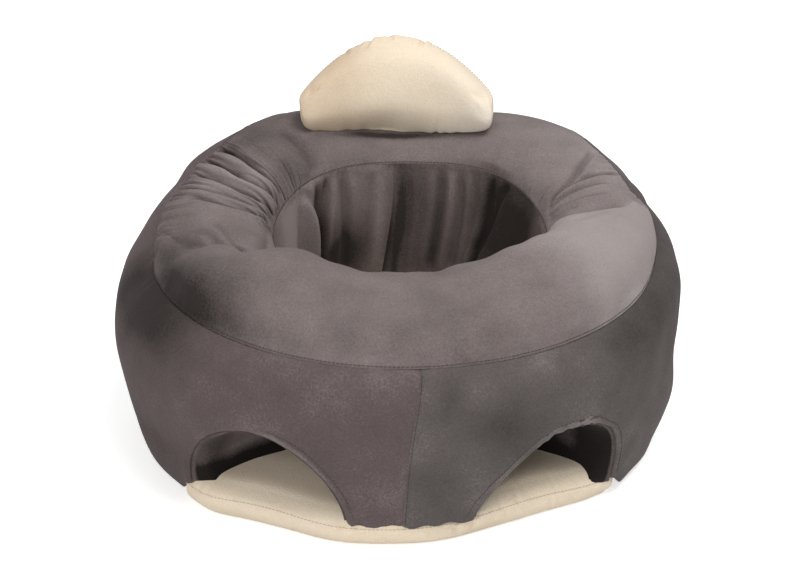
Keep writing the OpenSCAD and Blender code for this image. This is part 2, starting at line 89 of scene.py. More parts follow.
class Nodes:
    """Builds the node tree of one material."""

    def __init__(self, name: str) -> None:
        """Starts a material with a Principled shader.

        Args:
            name: The material's name.
        """
        self.material = bpy.data.materials.new(name)
        self.material.use_nodes = True
        self.tree = self.material.node_tree
        self.shader = self.tree.nodes["Principled BSDF"]
        self.coords = self.tree.nodes.new("ShaderNodeTexCoord")

    def add(self, kind: str, **settings: object) -> Node:
        """Adds a node.

        Args:
            kind: The node's type, without its ShaderNode prefix.
            **settings: Properties of the node, or values of the inputs of that name, where an
                underscore stands for a space.

        Returns:
            The new node.
        """
        node = self.tree.nodes.new("ShaderNode" + kind)
        for key, value in settings.items():
            if hasattr(node, key):
                setattr(node, key, value)
            else:
                node.inputs[key.replace("_", " ")].default_value = value
        return node

    def link(self, source: Socket, target: Socket) -> None:
        """Joins an output to an input."""
        self.tree.links.new(source, target)

    def shade(self, **values: object) -> None:
        """Sets inputs of the shader, where an underscore stands for a space."""
        for key, value in values.items():
            self.shader.inputs[key.replace("_", " ")].default_value = value

    def noise(self, scale: float, detail: float = 2.0, where: Socket | None = None) -> Socket:
        """Adds a noise pattern.

        Args:
            scale: Waves of the coarsest noise in a metre.
            detail: Octaves of finer noise.
            where: The coordinates it reads, or None for the object's own.

        Returns:
            The pattern's value, about 0.5 on the whole.
        """
        node = self.add("TexNoise", Scale=scale, Detail=detail)
        self.link(where or self.coords.outputs["Object"], node.inputs["Vector"])
        return node.outputs["Fac"]

    def total(self, start: float, parts: Sequence[tuple[Socket, float]]) -> Socket:
        """Adds patterns up, each times its weight.

        Args:
            start: The value they are added to.
            parts: Each pattern and its weight.

        Returns:
            The sum.
        """
        made = None
        for value, weight in parts:
            node = self.add("Math", operation="MULTIPLY_ADD")
            self.link(value, node.inputs[0])
            node.inputs[1].default_value = weight
            node.inputs[2].default_value = start
            if made is not None:
                self.link(made, node.inputs[2])
            made = node.outputs[0]
        return made

    def ramp(self, value: Socket, stops: Sequence[tuple[float, Colour]]) -> Socket:
        """Colours a value.

        Args:
            value: A pattern's value.
            stops: Places from 0 to 1 and the screen colour at each.

        Returns:
            The colour.
        """
        node = self.add("ValToRGB")
        self.link(value, node.inputs["Fac"])
        band = node.color_ramp
        while len(band.elements) < len(stops):
            band.elements.new(0.5)
        for element, (place, colour) in zip(band.elements, stops, strict=True):
            element.position = place
            element.color = linear(colour)
        return node.outputs["Color"]

    def bump(self, height: Socket, strength: float, depth: float, below: Node | None = None) -> Node:
        """Adds relief from a height pattern.

        Args:
            height: The pattern's value.
            strength: Share of the relief that shows.
            depth: Height in metres of the pattern from 0 to 1.
            below: Another relief that this one lies on.

        Returns:
            The bump node.
        """
        node = self.add("Bump", Strength=strength, Distance=depth)
        self.link(height, node.inputs["Height"])
        if below is not None:
            self.link(below.outputs["Normal"], node.inputs["Normal"])
        return node


# Waves of plush in a metre: broad shades of its nap, brushed marks, tufts and the pile's tips
BROAD_SCALE = 12.0
BRUSHED_SCALE = 45.0
TUFT_SCALE = 620.0
PILE_SCALE = 1500.0
PILE_SHADOW: Colour = (200, 200, 200)
PILE_TIP: Colour = (255, 255, 255)


@dataclass(frozen=True)
class PlushFinish:
    """Short-pile plush, whose nap lies this way and that and so catches more or less light.

    Each cover's tone attribute lightens or darkens it: nap patches, painted shade and light.
    """

    name: str
    dark: Colour
    body: Colour
    light: Colour
    mottle: float = 0.5
    pile: float = 0.5
    sheen: float = 0.2
    grain: float = 0.36
    seed: float = 0.0

    def build(self) -> Material:
        """Makes the material.

        Returns:
            The plush material.
        """
        n = Nodes(self.name)
        moved = n.add("Mapping")
        moved.inputs["Location"].default_value = (self.seed, 0.3 * self.seed, 0.0)
        n.link(n.coords.outputs["Object"], moved.inputs["Vector"])
        broad = n.noise(BROAD_SCALE, 2.0, moved.outputs["Vector"])
        brushed = n.noise(BRUSHED_SCALE, 4.0, moved.outputs["Vector"])
        tufts = n.noise(TUFT_SCALE, 3.0)
        # The tone attribute holds nap patches, painted shade in hollows and painted light
        nap = n.add("Attribute", attribute_name="nap").outputs["Fac"]
        parts = [(nap, 1.0), (broad, self.mottle), (brushed, 0.8 * self.mottle), (tufts, self.grain)]
        value = n.total(0.5 - 0.9 * self.mottle - 0.5 * self.grain, parts)
        tone = n.ramp(value, [(0.0, self.dark), (0.5, self.body), (1.0, self.light)])
        pile = n.noise(PILE_SCALE, 2.0)
        specks = n.ramp(pile, [(0.35, PILE_SHADOW), (0.65, PILE_TIP)])
        mixed = n.add("Mix", data_type="RGBA", blend_type="MULTIPLY")
        mixed.inputs["Factor"].default_value = self.pile
        n.link(tone, mixed.inputs["A"])
        n.link(specks, mixed.inputs["B"])
        n.link(mixed.outputs["Result"], n.shader.inputs["Base Color"])
        coarse = n.bump(tufts, 0.5, 0.0008)
        fine = n.bump(pile, 0.3, 0.0004, coarse)
        n.link(fine.outputs["Normal"], n.shader.inputs["Normal"])
        n.shade(Roughness=0.92, Specular_IOR_Level=0.18)
        n.shade(Sheen_Weight=self.sheen, Sheen_Roughness=0.4, Sheen_Tint=linear(self.light))
        return n.material


@dataclass(frozen=True)
class PlainFinish:
    """Thread, bag cloth, moulded plastic or plated metal: an even tone with a fine grain."""

    name: str
    body: Colour
    light: Colour
    roughness: float
    metallic: float = 0.0
    grain: float = 900.0
    relief: float = 0.0002

    def build(self) -> Material:
        """Makes the material.

        Returns:
            The finished material.
        """
        n = Nodes(self.name)
        pattern = n.noise(self.grain, 3.0)
        tone = n.ramp(pattern, [(0.3, self.body), (0.7, self.light)])
        n.link(tone, n.shader.inputs["Base Color"])
        relief = n.bump(pattern, 0.4, self.relief)
        n.link(relief.outputs["Normal"], n.shader.inputs["Normal"])
        n.shade(Roughness=self.roughness, Metallic=self.metallic)
        return n.material


GREY_DARK: Colour = (54, 48, 46)
GREY_LIGHT: Colour = (166, 156, 154)
WALL_LEFT = PlushFinish("wall_left_plush", GREY_DARK, (104, 92, 91), GREY_LIGHT, 0.3, seed=0.7)
WALL_RIGHT = PlushFinish("wall_right_plush", GREY_DARK, (102, 95, 93), GREY_LIGHT, 0.38, seed=4.1)
TOP = PlushFinish("top_plush", GREY_DARK, (126, 115, 113), GREY_LIGHT, 0.35, seed=2.2)
WELL = PlushFinish("well_plush", GREY_DARK, (118, 107, 104), GREY_LIGHT, 0.3, seed=6.4)
# The opening's very dark end is painted shade, reached deep in the leg openings
OPENING = PlushFinish("leg_opening_plush", (30, 26, 24), (104, 94, 92), GREY_LIGHT, seed=5.2)
CREAM = PlushFinish(
    "cream_plush", (204, 178, 148), (249, 232, 207), (254, 248, 237), 0.2, 0.3, 0.2, 0.15, 1.3
)
BAG = PlainFinish("fibre_bag", (228, 228, 224), (240, 240, 238), 0.9)
THREAD = PlainFinish("dark_thread", (54, 47, 46), (70, 62, 60), 0.7, grain=2500.0)
CREAM_THREAD = PlainFinish("cream_thread", (190, 172, 148), (208, 190, 166), 0.7, grain=2500.0)
TAPE = PlainFinish("zip_tape", (206, 192, 170), (222, 208, 186), 0.85, grain=1600.0)
TOOTH = PlainFinish("zip_tooth", (214, 202, 180), (224, 212, 192), 0.4)
NICKEL = PlainFinish("zip_nickel", (168, 166, 160), (186, 184, 178), 0.28, 1.0)


@dataclass(frozen=True)
class Finishes:
    """Every material of the seat, made once."""

    wall_left: Material = field(default_factory=WALL_LEFT.build)
    wall_right: Material = field(default_factory=WALL_RIGHT.build)
    top: Material = field(default_factory=TOP.build)
    well: Material = field(default_factory=WELL.build)
    opening: Material = field(default_factory=OPENING.build)
    cream: Material = field(default_factory=CREAM.build)
    bag: Material = field(default_factory=BAG.build)
    thread: Material = field(default_factory=THREAD.build)
    cream_thread: Material = field(default_factory=CREAM_THREAD.build)
    tape: Material = field(default_factory=TAPE.build)
    tooth: Material = field(default_factory=TOOTH.build)
    nickel: Material = field(default_factory=NICKEL.build)


# ---- Curves and grids ----


def catmull(p0: Array, p1: Array, p2: Array, p3: Array, t: Array) -> Array:
    """A point of the Catmull-Rom curve between p1 and p2, at a share t of the way."""
    square = 2 * p0 - 5 * p1 + 4 * p2 - p3
    cube = 3 * p1 - p0 - 3 * p2 + p3
    return 0.5 * (2 * p1 + (p2 - p0) * t + square * t**2 + cube * t**3)


def smooth_path(points: Array, steps: int) -> Array:
    """A smooth curve through all points, with steps between neighbours."""
    ends = np.concatenate([2 * points[:1] - points[1:2], points, 2 * points[-1:] - points[-2:-1]])
    t = (np.arange(steps) / steps)[:, None]
    spans = [
        catmull(ends[i], ends[i + 1], ends[i + 2], ends[i + 3], t) for i in range(len(points) - 1)
    ]
    return np.concatenate([*spans, points[-1:]])


def side_turn(turn: Array) -> Array:
    """The turn from straight ahead, the same on both sides."""
    return np.abs((np.asarray(turn, float) + 180) % 360 - 180)


def ease(x: Array) -> Array:
    """Goes smoothly from 0 to 1 while x does."""
    x = np.clip(x, 0, 1)
    return x * x * (3 - 2 * x)


def rising(x: Array, start: float, over: float) -> Array:
    """Goes smoothly from 0 to 1 while x rises over a stretch from its start."""
    return ease((x - start) / over)


def falling(x: Array, start: float, over: float) -> Array:
    """Goes smoothly from 0 to 1 while x falls over a stretch from its start."""
    return ease((start - x) / over)


def hump(x: Array, middle: float, width: float) -> Array:
    """A bell of height 1 round a middle, which fades out over a width."""
    return np.exp(-(((x - middle) / width) ** 2))


def polar(turn: Array, radius: Array, height: Array) -> Array:
    """Points at turns, radii and heights round the seat's middle."""
    angle = np.radians(turn)
    parts = np.broadcast_arrays(radius * np.sin(angle), -radius * np.cos(angle), height)
    return np.stack(parts, axis=-1)


def outward(points: Array) -> Array:
    """Level unit directions away from the seat's middle, at each point."""
    level = points * np.array([1.0, 1.0, 0.0])
    return level / np.linalg.norm(level, axis=-1, keepdims=True)


def unit(vectors: Array) -> Array:
    """The same vectors at a length of 1."""
    return vectors / np.maximum(np.linalg.norm(vectors, axis=-1, keepdims=True), 1e-12)


def along_rows(grid: Array) -> Array:
    """Distance along each column of a grid, from its first row."""
    steps = np.linalg.norm(np.diff(grid, axis=0), axis=-1)
    return np.concatenate([np.zeros((1, grid.shape[1])), np.cumsum(steps, axis=0)])


def grid_normals(grid: Array, wrap: bool) -> Array:
    """Unit normals of a grid of points.

    Args:
        grid: Points, rows by columns.
        wrap: True if the last column runs on into the first.

    Returns:
        The normal at each point, along columns crossed with along rows.
    """
    if wrap:
        wide = np.concatenate([grid[:, -1:], grid, grid[:, :1]], axis=1)
        across = (wide[:, 2:] - wide[:, :-2]) / 2
    else:
        across = np.gradient(grid, axis=1)
    return unit(np.cross(across, np.gradient(grid, axis=0)))


def pick(line: Array, place: Array) -> Array:
    """Points of each column of a grid, at places between its rows.

    Args:
        line: A grid of points or directions.
        place: Row numbers, with fractions, for each new row and column.

    Returns:
        The new grid.
    """
    row = np.clip(np.floor(place).astype(int), 0, len(line) - 2)[..., None]
    before = np.take_along_axis(line, row, axis=0)
    after = np.take_along_axis(line, row + 1, axis=0)
    return before + (after - before) * (place[..., None] - row)


def crowded(start: float, end: float, count: int, places: Sequence[tuple[float, float, float]]) -> Array:
    """Turns from start to end, closer together round some places.

    Args:
        start: The first turn.
        end: The last turn.
        count: How many turns.
        places: Middle, width and extra density of each crowded place.

    Returns:
        The turns, both ends included.
    """
    even = np.linspace(start, end, 4000)
    density = np.ones(even.shape)
    for middle, width, extra in places:
        density += extra * hump(even, middle, width)
    total = np.concatenate([[0], np.cumsum((density[1:] + density[:-1]) / 2)])
    return np.interp(np.linspace(0, total[-1], count), total, even)


def wave(x: Array, seed: int, count: int = 5) -> Array:
    """A smooth irregular wave of about unit size.

    Args:
        x: Places, in wavelengths.
        seed: Chooses the wave.
        count: How many sines it is the sum of.

    Returns:
        The wave's height at each place.
    """
    draw = np.random.default_rng(seed)
    total = np.zeros(np.shape(x))
    for _ in range(count):
        total += np.sin(2 * math.pi * draw.uniform(0.6, 1.7) * x + draw.uniform(0, 2 * math.pi))
    return total / math.sqrt(count / 2)


def lumps(turn: Array, across: Array, seed: int, size: float, count: int = 14) -> Array:
    """Soft unevenness of stuffing, which runs on all the way round.

    Args:
        turn: Turn of each point.
        across: Distance of each point across the panel.
        seed: Chooses the lumps.
        size: Width of a typical lump.
        count: How many waves they are the sum of.

    Returns:
        A height of about unit size at each point.
    """
    draw = np.random.default_rng(seed)
    total = np.zeros(np.broadcast_shapes(np.shape(turn), np.shape(across)))
    for _ in range(count):
        heading, scale = draw.uniform(0, math.pi), size * draw.uniform(0.8, 1.8)
        around = round(math.cos(heading) * math.pi * 0.17 / scale)
        up = math.sin(heading) * math.pi / scale
        total += np.sin(around * np.radians(turn) + up * across + draw.uniform(0, 2 * math.pi))
    return total / math.sqrt(count / 2)


@dataclass(frozen=True)
class Stations:
    """A size straight ahead, at the front corners, the sides, the back corners and behind."""

    ahead: float
    front_corner: float
    side: float
    back_corner: float
    behind: float

    def at(self, turn: Array) -> Array:
        """The size at each turn.

        Args:
            turn: Turns from straight ahead, in degrees.

        Returns:
            The size, on a smooth curve through the five stations.
        """
        values = np.array([self.ahead, self.front_corner, self.side, self.back_corner, self.behind])
        place = side_turn(turn) / 45
        i = np.minimum(np.floor(place).astype(int), 3)
        after = np.where(i + 2 > 4, 6 - i, i + 2)
        return catmull(values[np.abs(i - 1)], values[i], values[i + 1], values[after], place - i)


# ---- Creases ----


@dataclass(frozen=True)
class Fold:
    """A crease in the cloth: a valley along a path, with a soft roll beside it.

    The roll lies to the left of the path where side is 1, and to its right where side is -1.
    Its place and its width are given in widths of the valley.
    """

    path: tuple[tuple[float, float], ...]
    depth: float
    width: float
    roll: float = 0.5
    side: int = -1
    fade: float = 0.2
    roll_away: float = 2.0
    roll_width: float = 1.4
    widths_felt: float = 5.0

    def height(self, x: Array, y: Array, scale: tuple[float, float]) -> Array:
        """How far the cloth moves outwards.

        Args:
            x: Distance of each point along the panel.
            y: Distance of each point across the panel.
            scale: Metres that the path's two coordinates stand for.

        Returns:
            The move at each point, negative in the valley.
        """
        fine = smooth_path(np.array(self.path) * np.array(scale), 5)
        reach = self.widths_felt * self.width
        low, high = fine.min(axis=0) - reach, fine.max(axis=0) + reach
        x, y = np.broadcast_arrays(x, y)
        near = (x > low[0]) & (x < high[0]) & (y > low[1]) & (y < high[1])
        px, py = x[near], y[near]
        best = np.full(px.shape, np.inf)
        beside = np.zeros(px.shape)
        share = np.zeros(px.shape)
        steps = np.linalg.norm(np.diff(fine, axis=0), axis=1)
        done = 0.0
        for a, d, step in zip(fine[:-1], np.diff(fine, axis=0), steps, strict=True):
            t = np.clip(((px - a[0]) * d[0] + (py - a[1]) * d[1]) / step**2, 0, 1)
            ox, oy = px - a[0] - t * d[0], py - a[1] - t * d[1]
            far = np.hypot(ox, oy)
            closer = far < best
            best = np.where(closer, far, best)
            beside = np.where(closer, (d[0] * oy - d[1] * ox) / step, beside)
            share = np.where(closer, (done + t * step) / steps.sum(), share)
            done += step
        ends = ease(share / self.fade) * ease((1 - share) / self.fade)
        valley = hump(best, 0, self.width)
        away, wide = self.roll_away * self.width, self.roll_width * self.width
        roll = self.roll * hump(beside * self.side, away, wide)
        made = np.zeros(x.shape)
        made[near] = self.depth * ends * (roll - valley)
        return made


@dataclass(frozen=True)
class Gathers:
    """Short creases side by side, where a seam draws in more cloth than it holds.

    A crease's width, and how far it strays from its even place, are shares of the pitch. The
    cloth between two creases stands up by the ridge's share of their depth.
    """

    start: float
    end: float
    pitch: float
    reach: float
    depth: float
    slant: float = 0.0
    seed: int = 1
    fade: float = 5.0
    crease_width: float = 0.24
    ridge: float = 0.3
    stray: float = 0.3
    spare: int = 6

    def height(self, along: Array, away: Array) -> Array:
        """How far the cloth moves outwards.

        Args:
            along: Turn or distance of each point along the seam.
            away: Distance of each point from the seam.

        Returns:
            The move at each point, negative in the creases.
        """
        place = (along - self.start - self.slant * away) / self.pitch
        place = place + self.stray * wave(place / 3.3, self.seed)
        nearest = np.round(place)
        count = int((self.end - self.start) / self.pitch) + 2 * self.spare
        draw = np.random.default_rng(self.seed)
        strength, length = draw.uniform(0.35, 1.0, count), draw.uniform(0.4, 1.3, count)
        which = np.clip(nearest.astype(int) + self.spare, 0, count - 1)
        crease = hump(place, nearest, self.crease_width) - self.ridge
        inside = ease((along - self.start) / self.fade)
        inside = inside * ease((self.end - along) / self.fade) * ease(away / 0.003)
        reached = np.exp(-((away / (self.reach * length[which])) ** 1.6))
        return -self.depth * inside * strength[which] * crease * reached


def all_round(pitch: float, reach: float, depth: float, seed: int, end: float = 178) -> Gathers:
    """Small gathers of a seam that runs all the way round."""
    return Gathers(-178, end, pitch, reach, depth, seed=seed, fade=2.0)


@dataclass(frozen=True)
class Patch:
    """A darker or lighter patch: nap that lies another way, painted shade, painted light."""

    turn: float
    across: float
    wide: float
    high: float
    tone: float

    def at(self, turn: Array, across: Array) -> Array:
        """The patch's tone at each turn and height or share."""
        return self.tone * hump(turn, self.turn, self.wide) * hump(across, self.across, self.high)


def toned(patches: Sequence[Patch], turn: Array, across: Array) -> Array:
    """The tone that all patches give together."""
    return sum(patch.at(turn, across) for patch in patches)


# ---- Cloth ----


def wrapped(index: Array) -> Array:
    """A grid of point numbers with its first column again after its last."""
    return np.concatenate([index, index[:, :1]], axis=1)


def faces_between(index: Array) -> Array:
    """The four-sided faces between the point numbers of a grid."""
    corners = [index[:-1, :-1], index[:-1, 1:], index[1:, 1:], index[1:, :-1]]
    return np.stack(corners, axis=-1).reshape(-1, 4)


def fan(tip: int, ring: Array) -> Array:
    """The triangles between a tip and each step of a ring of point numbers."""
    return np.stack([np.full(len(ring) - 1, tip), ring[1:], ring[:-1]], axis=-1)


@dataclass
class Cloth:
    """One cover panel as a grid of points, and the solid shell made from it."""

    name: str
    grid: Array
    wrap: bool = False
    flip: bool = False
    pole_first: bool = False
    pole_last: bool = False
    thickness: float = 0.0018
    held_normals: Array | None = None
    # Tone of nap patches, painted shade and painted light at each point
    nap: Array | None = None

    def normals(self) -> Array:
        """Outward unit normals of the grid."""
        if self.held_normals is not None:
            return self.held_normals
        made = grid_normals(self.grid, self.wrap)
        return -made if self.flip else made

    def push(self, height: Array) -> None:
        """Moves the cloth outwards by a height at each point."""
        self.grid = self.grid + self.normals() * height[..., None]

    def metres(self) -> tuple[Array, Array]:
        """Distance of each point along and across the panel."""
        across = along_rows(self.grid)
        steps = np.linalg.norm(np.diff(self.grid, axis=1), axis=-1)
        start = np.zeros((self.grid.shape[0], 1))
        return np.concatenate([start, np.cumsum(steps, axis=1)], axis=1), across

    def found(self, x: Array, y: Array, route: Array, neighbours: int = 8) -> tuple[Array, Array]:
        """Finds where a route lies on the finished cloth.

        Args:
            x: A first flat coordinate of each of the grid's points.
            y: A second one.
            route: The route's points in the same two coordinates.
            neighbours: How many of the cloth's points give each of the route's.

        Returns:
            The route's points in space and the cloth's normals there.
        """
        x, y = (part.ravel() for part in np.broadcast_arrays(x, y))
        points, normals = self.grid.reshape(-1, 3), grid_normals(self.grid, self.wrap).reshape(-1, 3)
        places, ways = [], []
        for at in route:
            far = (x - at[0]) ** 2 + (y - at[1]) ** 2
            nearest = np.argpartition(far, neighbours)[:neighbours]
            weight = 1 / (far[nearest] + 1e-8)
            weight = (weight / weight.sum())[:, None]
            places.append((points[nearest] * weight).sum(axis=0))
            ways.append((normals[nearest] * weight).sum(axis=0))
        return np.array(places), unit(np.array(ways))

    def solid(self, material: Material) -> Piece:
        """Makes the closed shell.

        Args:
            material: Its finish.

        Returns:
            The new object, with its UV map in metres and its tone of nap and painted light.
        """
        rows, cols, _ = self.grid.shape
        count = rows * cols
        inner = self.grid - self.normals() * self.thickness
        points = [self.grid.reshape(-1, 3), inner.reshape(-1, 3)]
        index = np.arange(count).reshape(rows, cols)
        if self.wrap:
            index = wrapped(index)
        skin = faces_between(index)
        if self.flip:
            skin = skin[:, ::-1]
        faces = [skin, skin[:, ::-1] + count]
        edges = []
        if not self.pole_first:
            edges.append(index[0, ::-1])
        if not self.pole_last:
            edges.append(index[-1])
        if not self.wrap:
            edges += [index[:, 0], index[::-1, -1]]
        for edge in edges:
            strip = np.stack([edge[1:], edge[:-1], edge[:-1] + count, edge[1:] + count], axis=-1)
            faces.append(strip[:, ::-1] if self.flip else strip)
        triangles = []
        for pole, row in ((self.pole_first, index[0]), (self.pole_last, index[-1, ::-1])):
            if not pole:
                continue
            skins = ((0, self.grid, self.flip), (count, inner, not self.flip))
            for shift, skin_points, turned in skins:
                middle = skin_points.reshape(-1, 3)[row[:-1]].mean(axis=0)
                closed = fan(sum(len(p) for p in points), row + shift)
                points.append(middle[None])
                triangles.append(closed[:, ::-1] if turned else closed)
        corners = [face for part in (*faces, *triangles) for face in part.tolist()]
        piece = new_piece(self.name, np.concatenate(points), corners, material)
        self.mark_edges(piece.data, index, count)
        self.add_uv(piece.data, count)
        self.add_tone_and_painted_light(piece.data, count)
        return piece

    def mark_edges(self, mesh: bpy.types.Mesh, index: Array, count: int) -> None:
        """Keeps the shell's rims crisp while its skins are smooth.

        Args:
            mesh: The shell's mesh.
            index: The grid's point numbers.
            count: How many points one skin has.
        """
        rim = np.zeros(len(mesh.vertices), bool)
        sides = [] if self.wrap else [index[:, 0], index[:, -1]]
        for edge in (index[0], index[-1], *sides):
            rim[edge] = True
            rim[edge + count] = True
        if self.pole_first:
            rim[index[0]] = rim[index[0] + count] = False
        if self.pole_last:
            rim[index[-1]] = rim[index[-1] + count] = False
        ends = np.zeros(len(mesh.edges) * 2, int)
        mesh.edges.foreach_get("vertices", ends)
        sharp = rim[ends.reshape(-1, 2)].all(axis=1)
        mesh.attributes.new("sharp_edge", "BOOLEAN", "EDGE").data.foreach_set("value", sharp)

    def add_uv(self, mesh: bpy.types.Mesh, count: int) -> None:
        """Maps the cloth flat, in metres."""
        flat = np.stack(self.metres(), axis=-1).reshape(-1, 2)
        flat = np.concatenate([flat, flat, np.zeros((len(mesh.vertices) - 2 * count, 2))])
        corners = np.zeros(len(mesh.loops), int)
        mesh.loops.foreach_get("vertex_index", corners)
        mesh.uv_layers.new(name="cloth").uv.foreach_set("vector", flat[corners].ravel())

    def add_tone_and_painted_light(self, mesh: bpy.types.Mesh, count: int) -> None:
        """Stores the tone of the nap and of the painted shade and light."""
        tone = np.zeros(len(mesh.vertices))
        if self.nap is not None:
            tone[: 2 * count] = np.tile(self.nap.ravel(), 2)
        mesh.attributes.new("nap", "FLOAT", "POINT").data.foreach_set("value", tone)


def new_piece(name: str, points: Array, faces: list[list[int]], material: Material) -> Piece:
    """Makes a smooth shaded object.

    Args:
        name: Its name.
        points: Its vertices.
        faces: The point numbers of each face.
        material: Its finish.

    Returns:
        The object, linked to the scene.
    """
    mesh = bpy.data.meshes.new(name)
    mesh.from_pydata(points.tolist(), [], faces)
    mesh.polygons.foreach_set("use_smooth", np.ones(len(mesh.polygons), bool))
    mesh.update()
    mesh.materials.append(material)
    piece = bpy.data.objects.new(name, mesh)
    bpy.context.scene.collection.objects.link(piece)
    return piece


def deselect() -> None:
    """Deselects every object, so that an operator acts on what it makes alone."""
    if bpy.context.object is not None and bpy.context.object.mode != "OBJECT":
        bpy.ops.object.mode_set(mode="OBJECT")
    bpy.ops.object.select_all(action="DESELECT")


def settle(piece: Piece, name: str) -> Piece:
    """Names a new piece and puts its place into its mesh.

    Args:
        piece: The object that an operator just made.
        name: Its name.

    Returns:
        The same object, at the origin.
    """
    piece.name = name
    piece.data.name = name
    bpy.ops.object.transform_apply(location=True, rotation=True, scale=True)
    return piece


@dataclass(frozen=True)
class StitchRow:
    """A row of machine stitches, laid along a seam and a little above its cloth."""

    name: str
    body: str = "seat"
    slot: str = "plush_grey"
    pitch: float = 0.0030
    length: float = 0.0019
    thread: float = 0.0005
    lift: float = 0.0002

    def one(self) -> tuple[Array, list[list[int]]]:
        """Models one stitch along X.

        Returns:
            Its points and faces.
        """
        deselect()
        bpy.ops.mesh.primitive_cylinder_add(
            vertices=6, radius=self.thread / 2, depth=self.length, rotation=(0, math.pi / 2, 0)
        )
        piece = settle(bpy.context.object, self.name + "_one")
        bpy.ops.object.mode_set(mode="EDIT")
        bpy.ops.mesh.select_mode(type="FACE")
        bpy.ops.mesh.select_all(action="DESELECT")
        bpy.ops.object.mode_set(mode="OBJECT")
        for face in piece.data.polygons:
            face.select = abs(face.normal.x) > 0.9
        bpy.ops.object.mode_set(mode="EDIT")
        bpy.ops.mesh.inset(thickness=self.thread * 0.2, depth=self.thread * 0.3)
        bpy.ops.object.mode_set(mode="OBJECT")
        points = np.array([v.co[:] for v in piece.data.vertices])
        faces = [list(f.vertices) for f in piece.data.polygons]
        bpy.data.objects.remove(piece)
        return points, faces

    def lay(self, route: Array, normals: Array, material: Material, wrap: bool = False) -> Piece:
        """Lays stitches along a route.

        Args:
            route: Points along the seam.
            normals: The cloth's normal at each.
            material: The thread.
            wrap: True if the seam runs on into its own start.

        Returns:
            The row as one piece.
        """
        points, faces = self.one()
        route = route + normals * self.lift
        if wrap:
            route = np.concatenate([route, route[:1]])
            normals = np.concatenate([normals, normals[:1]])
        steps = np.linalg.norm(np.diff(route, axis=0), axis=1)
        far = np.concatenate([[0], np.cumsum(steps)])
        count = int(far[-1] / self.pitch)
        at = (np.arange(count) + 0.5) * far[-1] / count

        def where(place: Array, values: Array) -> Array:
            """Values of the route at distances along it."""
            return np.stack([np.interp(place, far, values[:, k]) for k in range(3)], axis=1)

        x = unit(where(at + 0.001, route) - where(at - 0.001, route))
        y = unit(np.cross(where(at, normals), x))
        turned = np.einsum("pk,nkc->npc", points, np.stack([x, y, np.cross(x, y)], axis=1))
        turned = turned + where(at, route)[:, None]
        every = [[v + k * len(points) for v in f] for k in range(count) for f in faces]
        piece = new_piece(self.name, turned.reshape(-1, 3), every, material)
        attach(piece, self.body)
        return piece


# ---- The ring ----


@dataclass(frozen=True)
class Swell:
    """A stretch that stuffing pushes out or lifts, or leaves slack where its move is negative."""

    turn: float
    wide: float
    move: float

    def at(self, turn: Array) -> Array:
        """How far each turn is moved."""
        return self.move * hump(turn, self.turn, self.wide)


@dataclass(frozen=True)
class Leg:
    """The curve of a leg opening's edge, between two turns, with its fullness on each side.

    The ripple is the height of small waves in the edge, round the ripple's turn. The sag is how
    far the opening's lining hangs below the foot of the wall.
    """

    near: float
    far: float
    height: float
    near_fullness: float
    far_fullness: float
    ripple: float = 0.0
    sag: float = -0.002
    ripple_turn: float = 34.0
    ripple_wide: float = 6.0
    ripple_pitch: float = 2.8
    ripple_seed: int = 17

    @property
    def middle(self) -> float:
        """The turn half way across."""
        return (self.near + self.far) / 2

    @property
    def half(self) -> float:
        """Half of the width, in degrees."""
        return (self.far - self.near) / 2

    def turns(self, count: int) -> Array:
        """Turns across the opening, closer together at its upright edges."""
        return self.middle - self.half * np.cos(np.linspace(0, math.pi, count))

    def rise(self, turn: Array) -> Array:
        """Height of the edge above the base seam at each turn."""
        place = side_turn(turn)
        u = np.minimum(np.abs(place - self.middle) / self.half, 1)
        power = np.where(place < self.middle, self.near_fullness, self.far_fullness)
        ripples = self.ripple * wave(place / self.ripple_pitch, self.ripple_seed)
        ripples = ripples * hump(place, self.ripple_turn, self.ripple_wide)
        return self.height * (1 - u**power) ** (1 / power) + ripples

    def edge(self, count: int, radius: float) -> Array:
        """Turns of points evenly spaced along the edge.

        Args:
            count: How many points.
            radius: Radius of the wall that the opening is cut in.

        Returns:
            The turns, from the near edge to the far one.
        """
        turns = self.turns(2000)
        far = np.cumsum(np.hypot(np.diff(np.radians(turns) * radius), np.diff(self.rise(turns))))
        far = np.concatenate([[0], far])
        return np.interp(np.linspace(0, far[-1], count), far, turns)


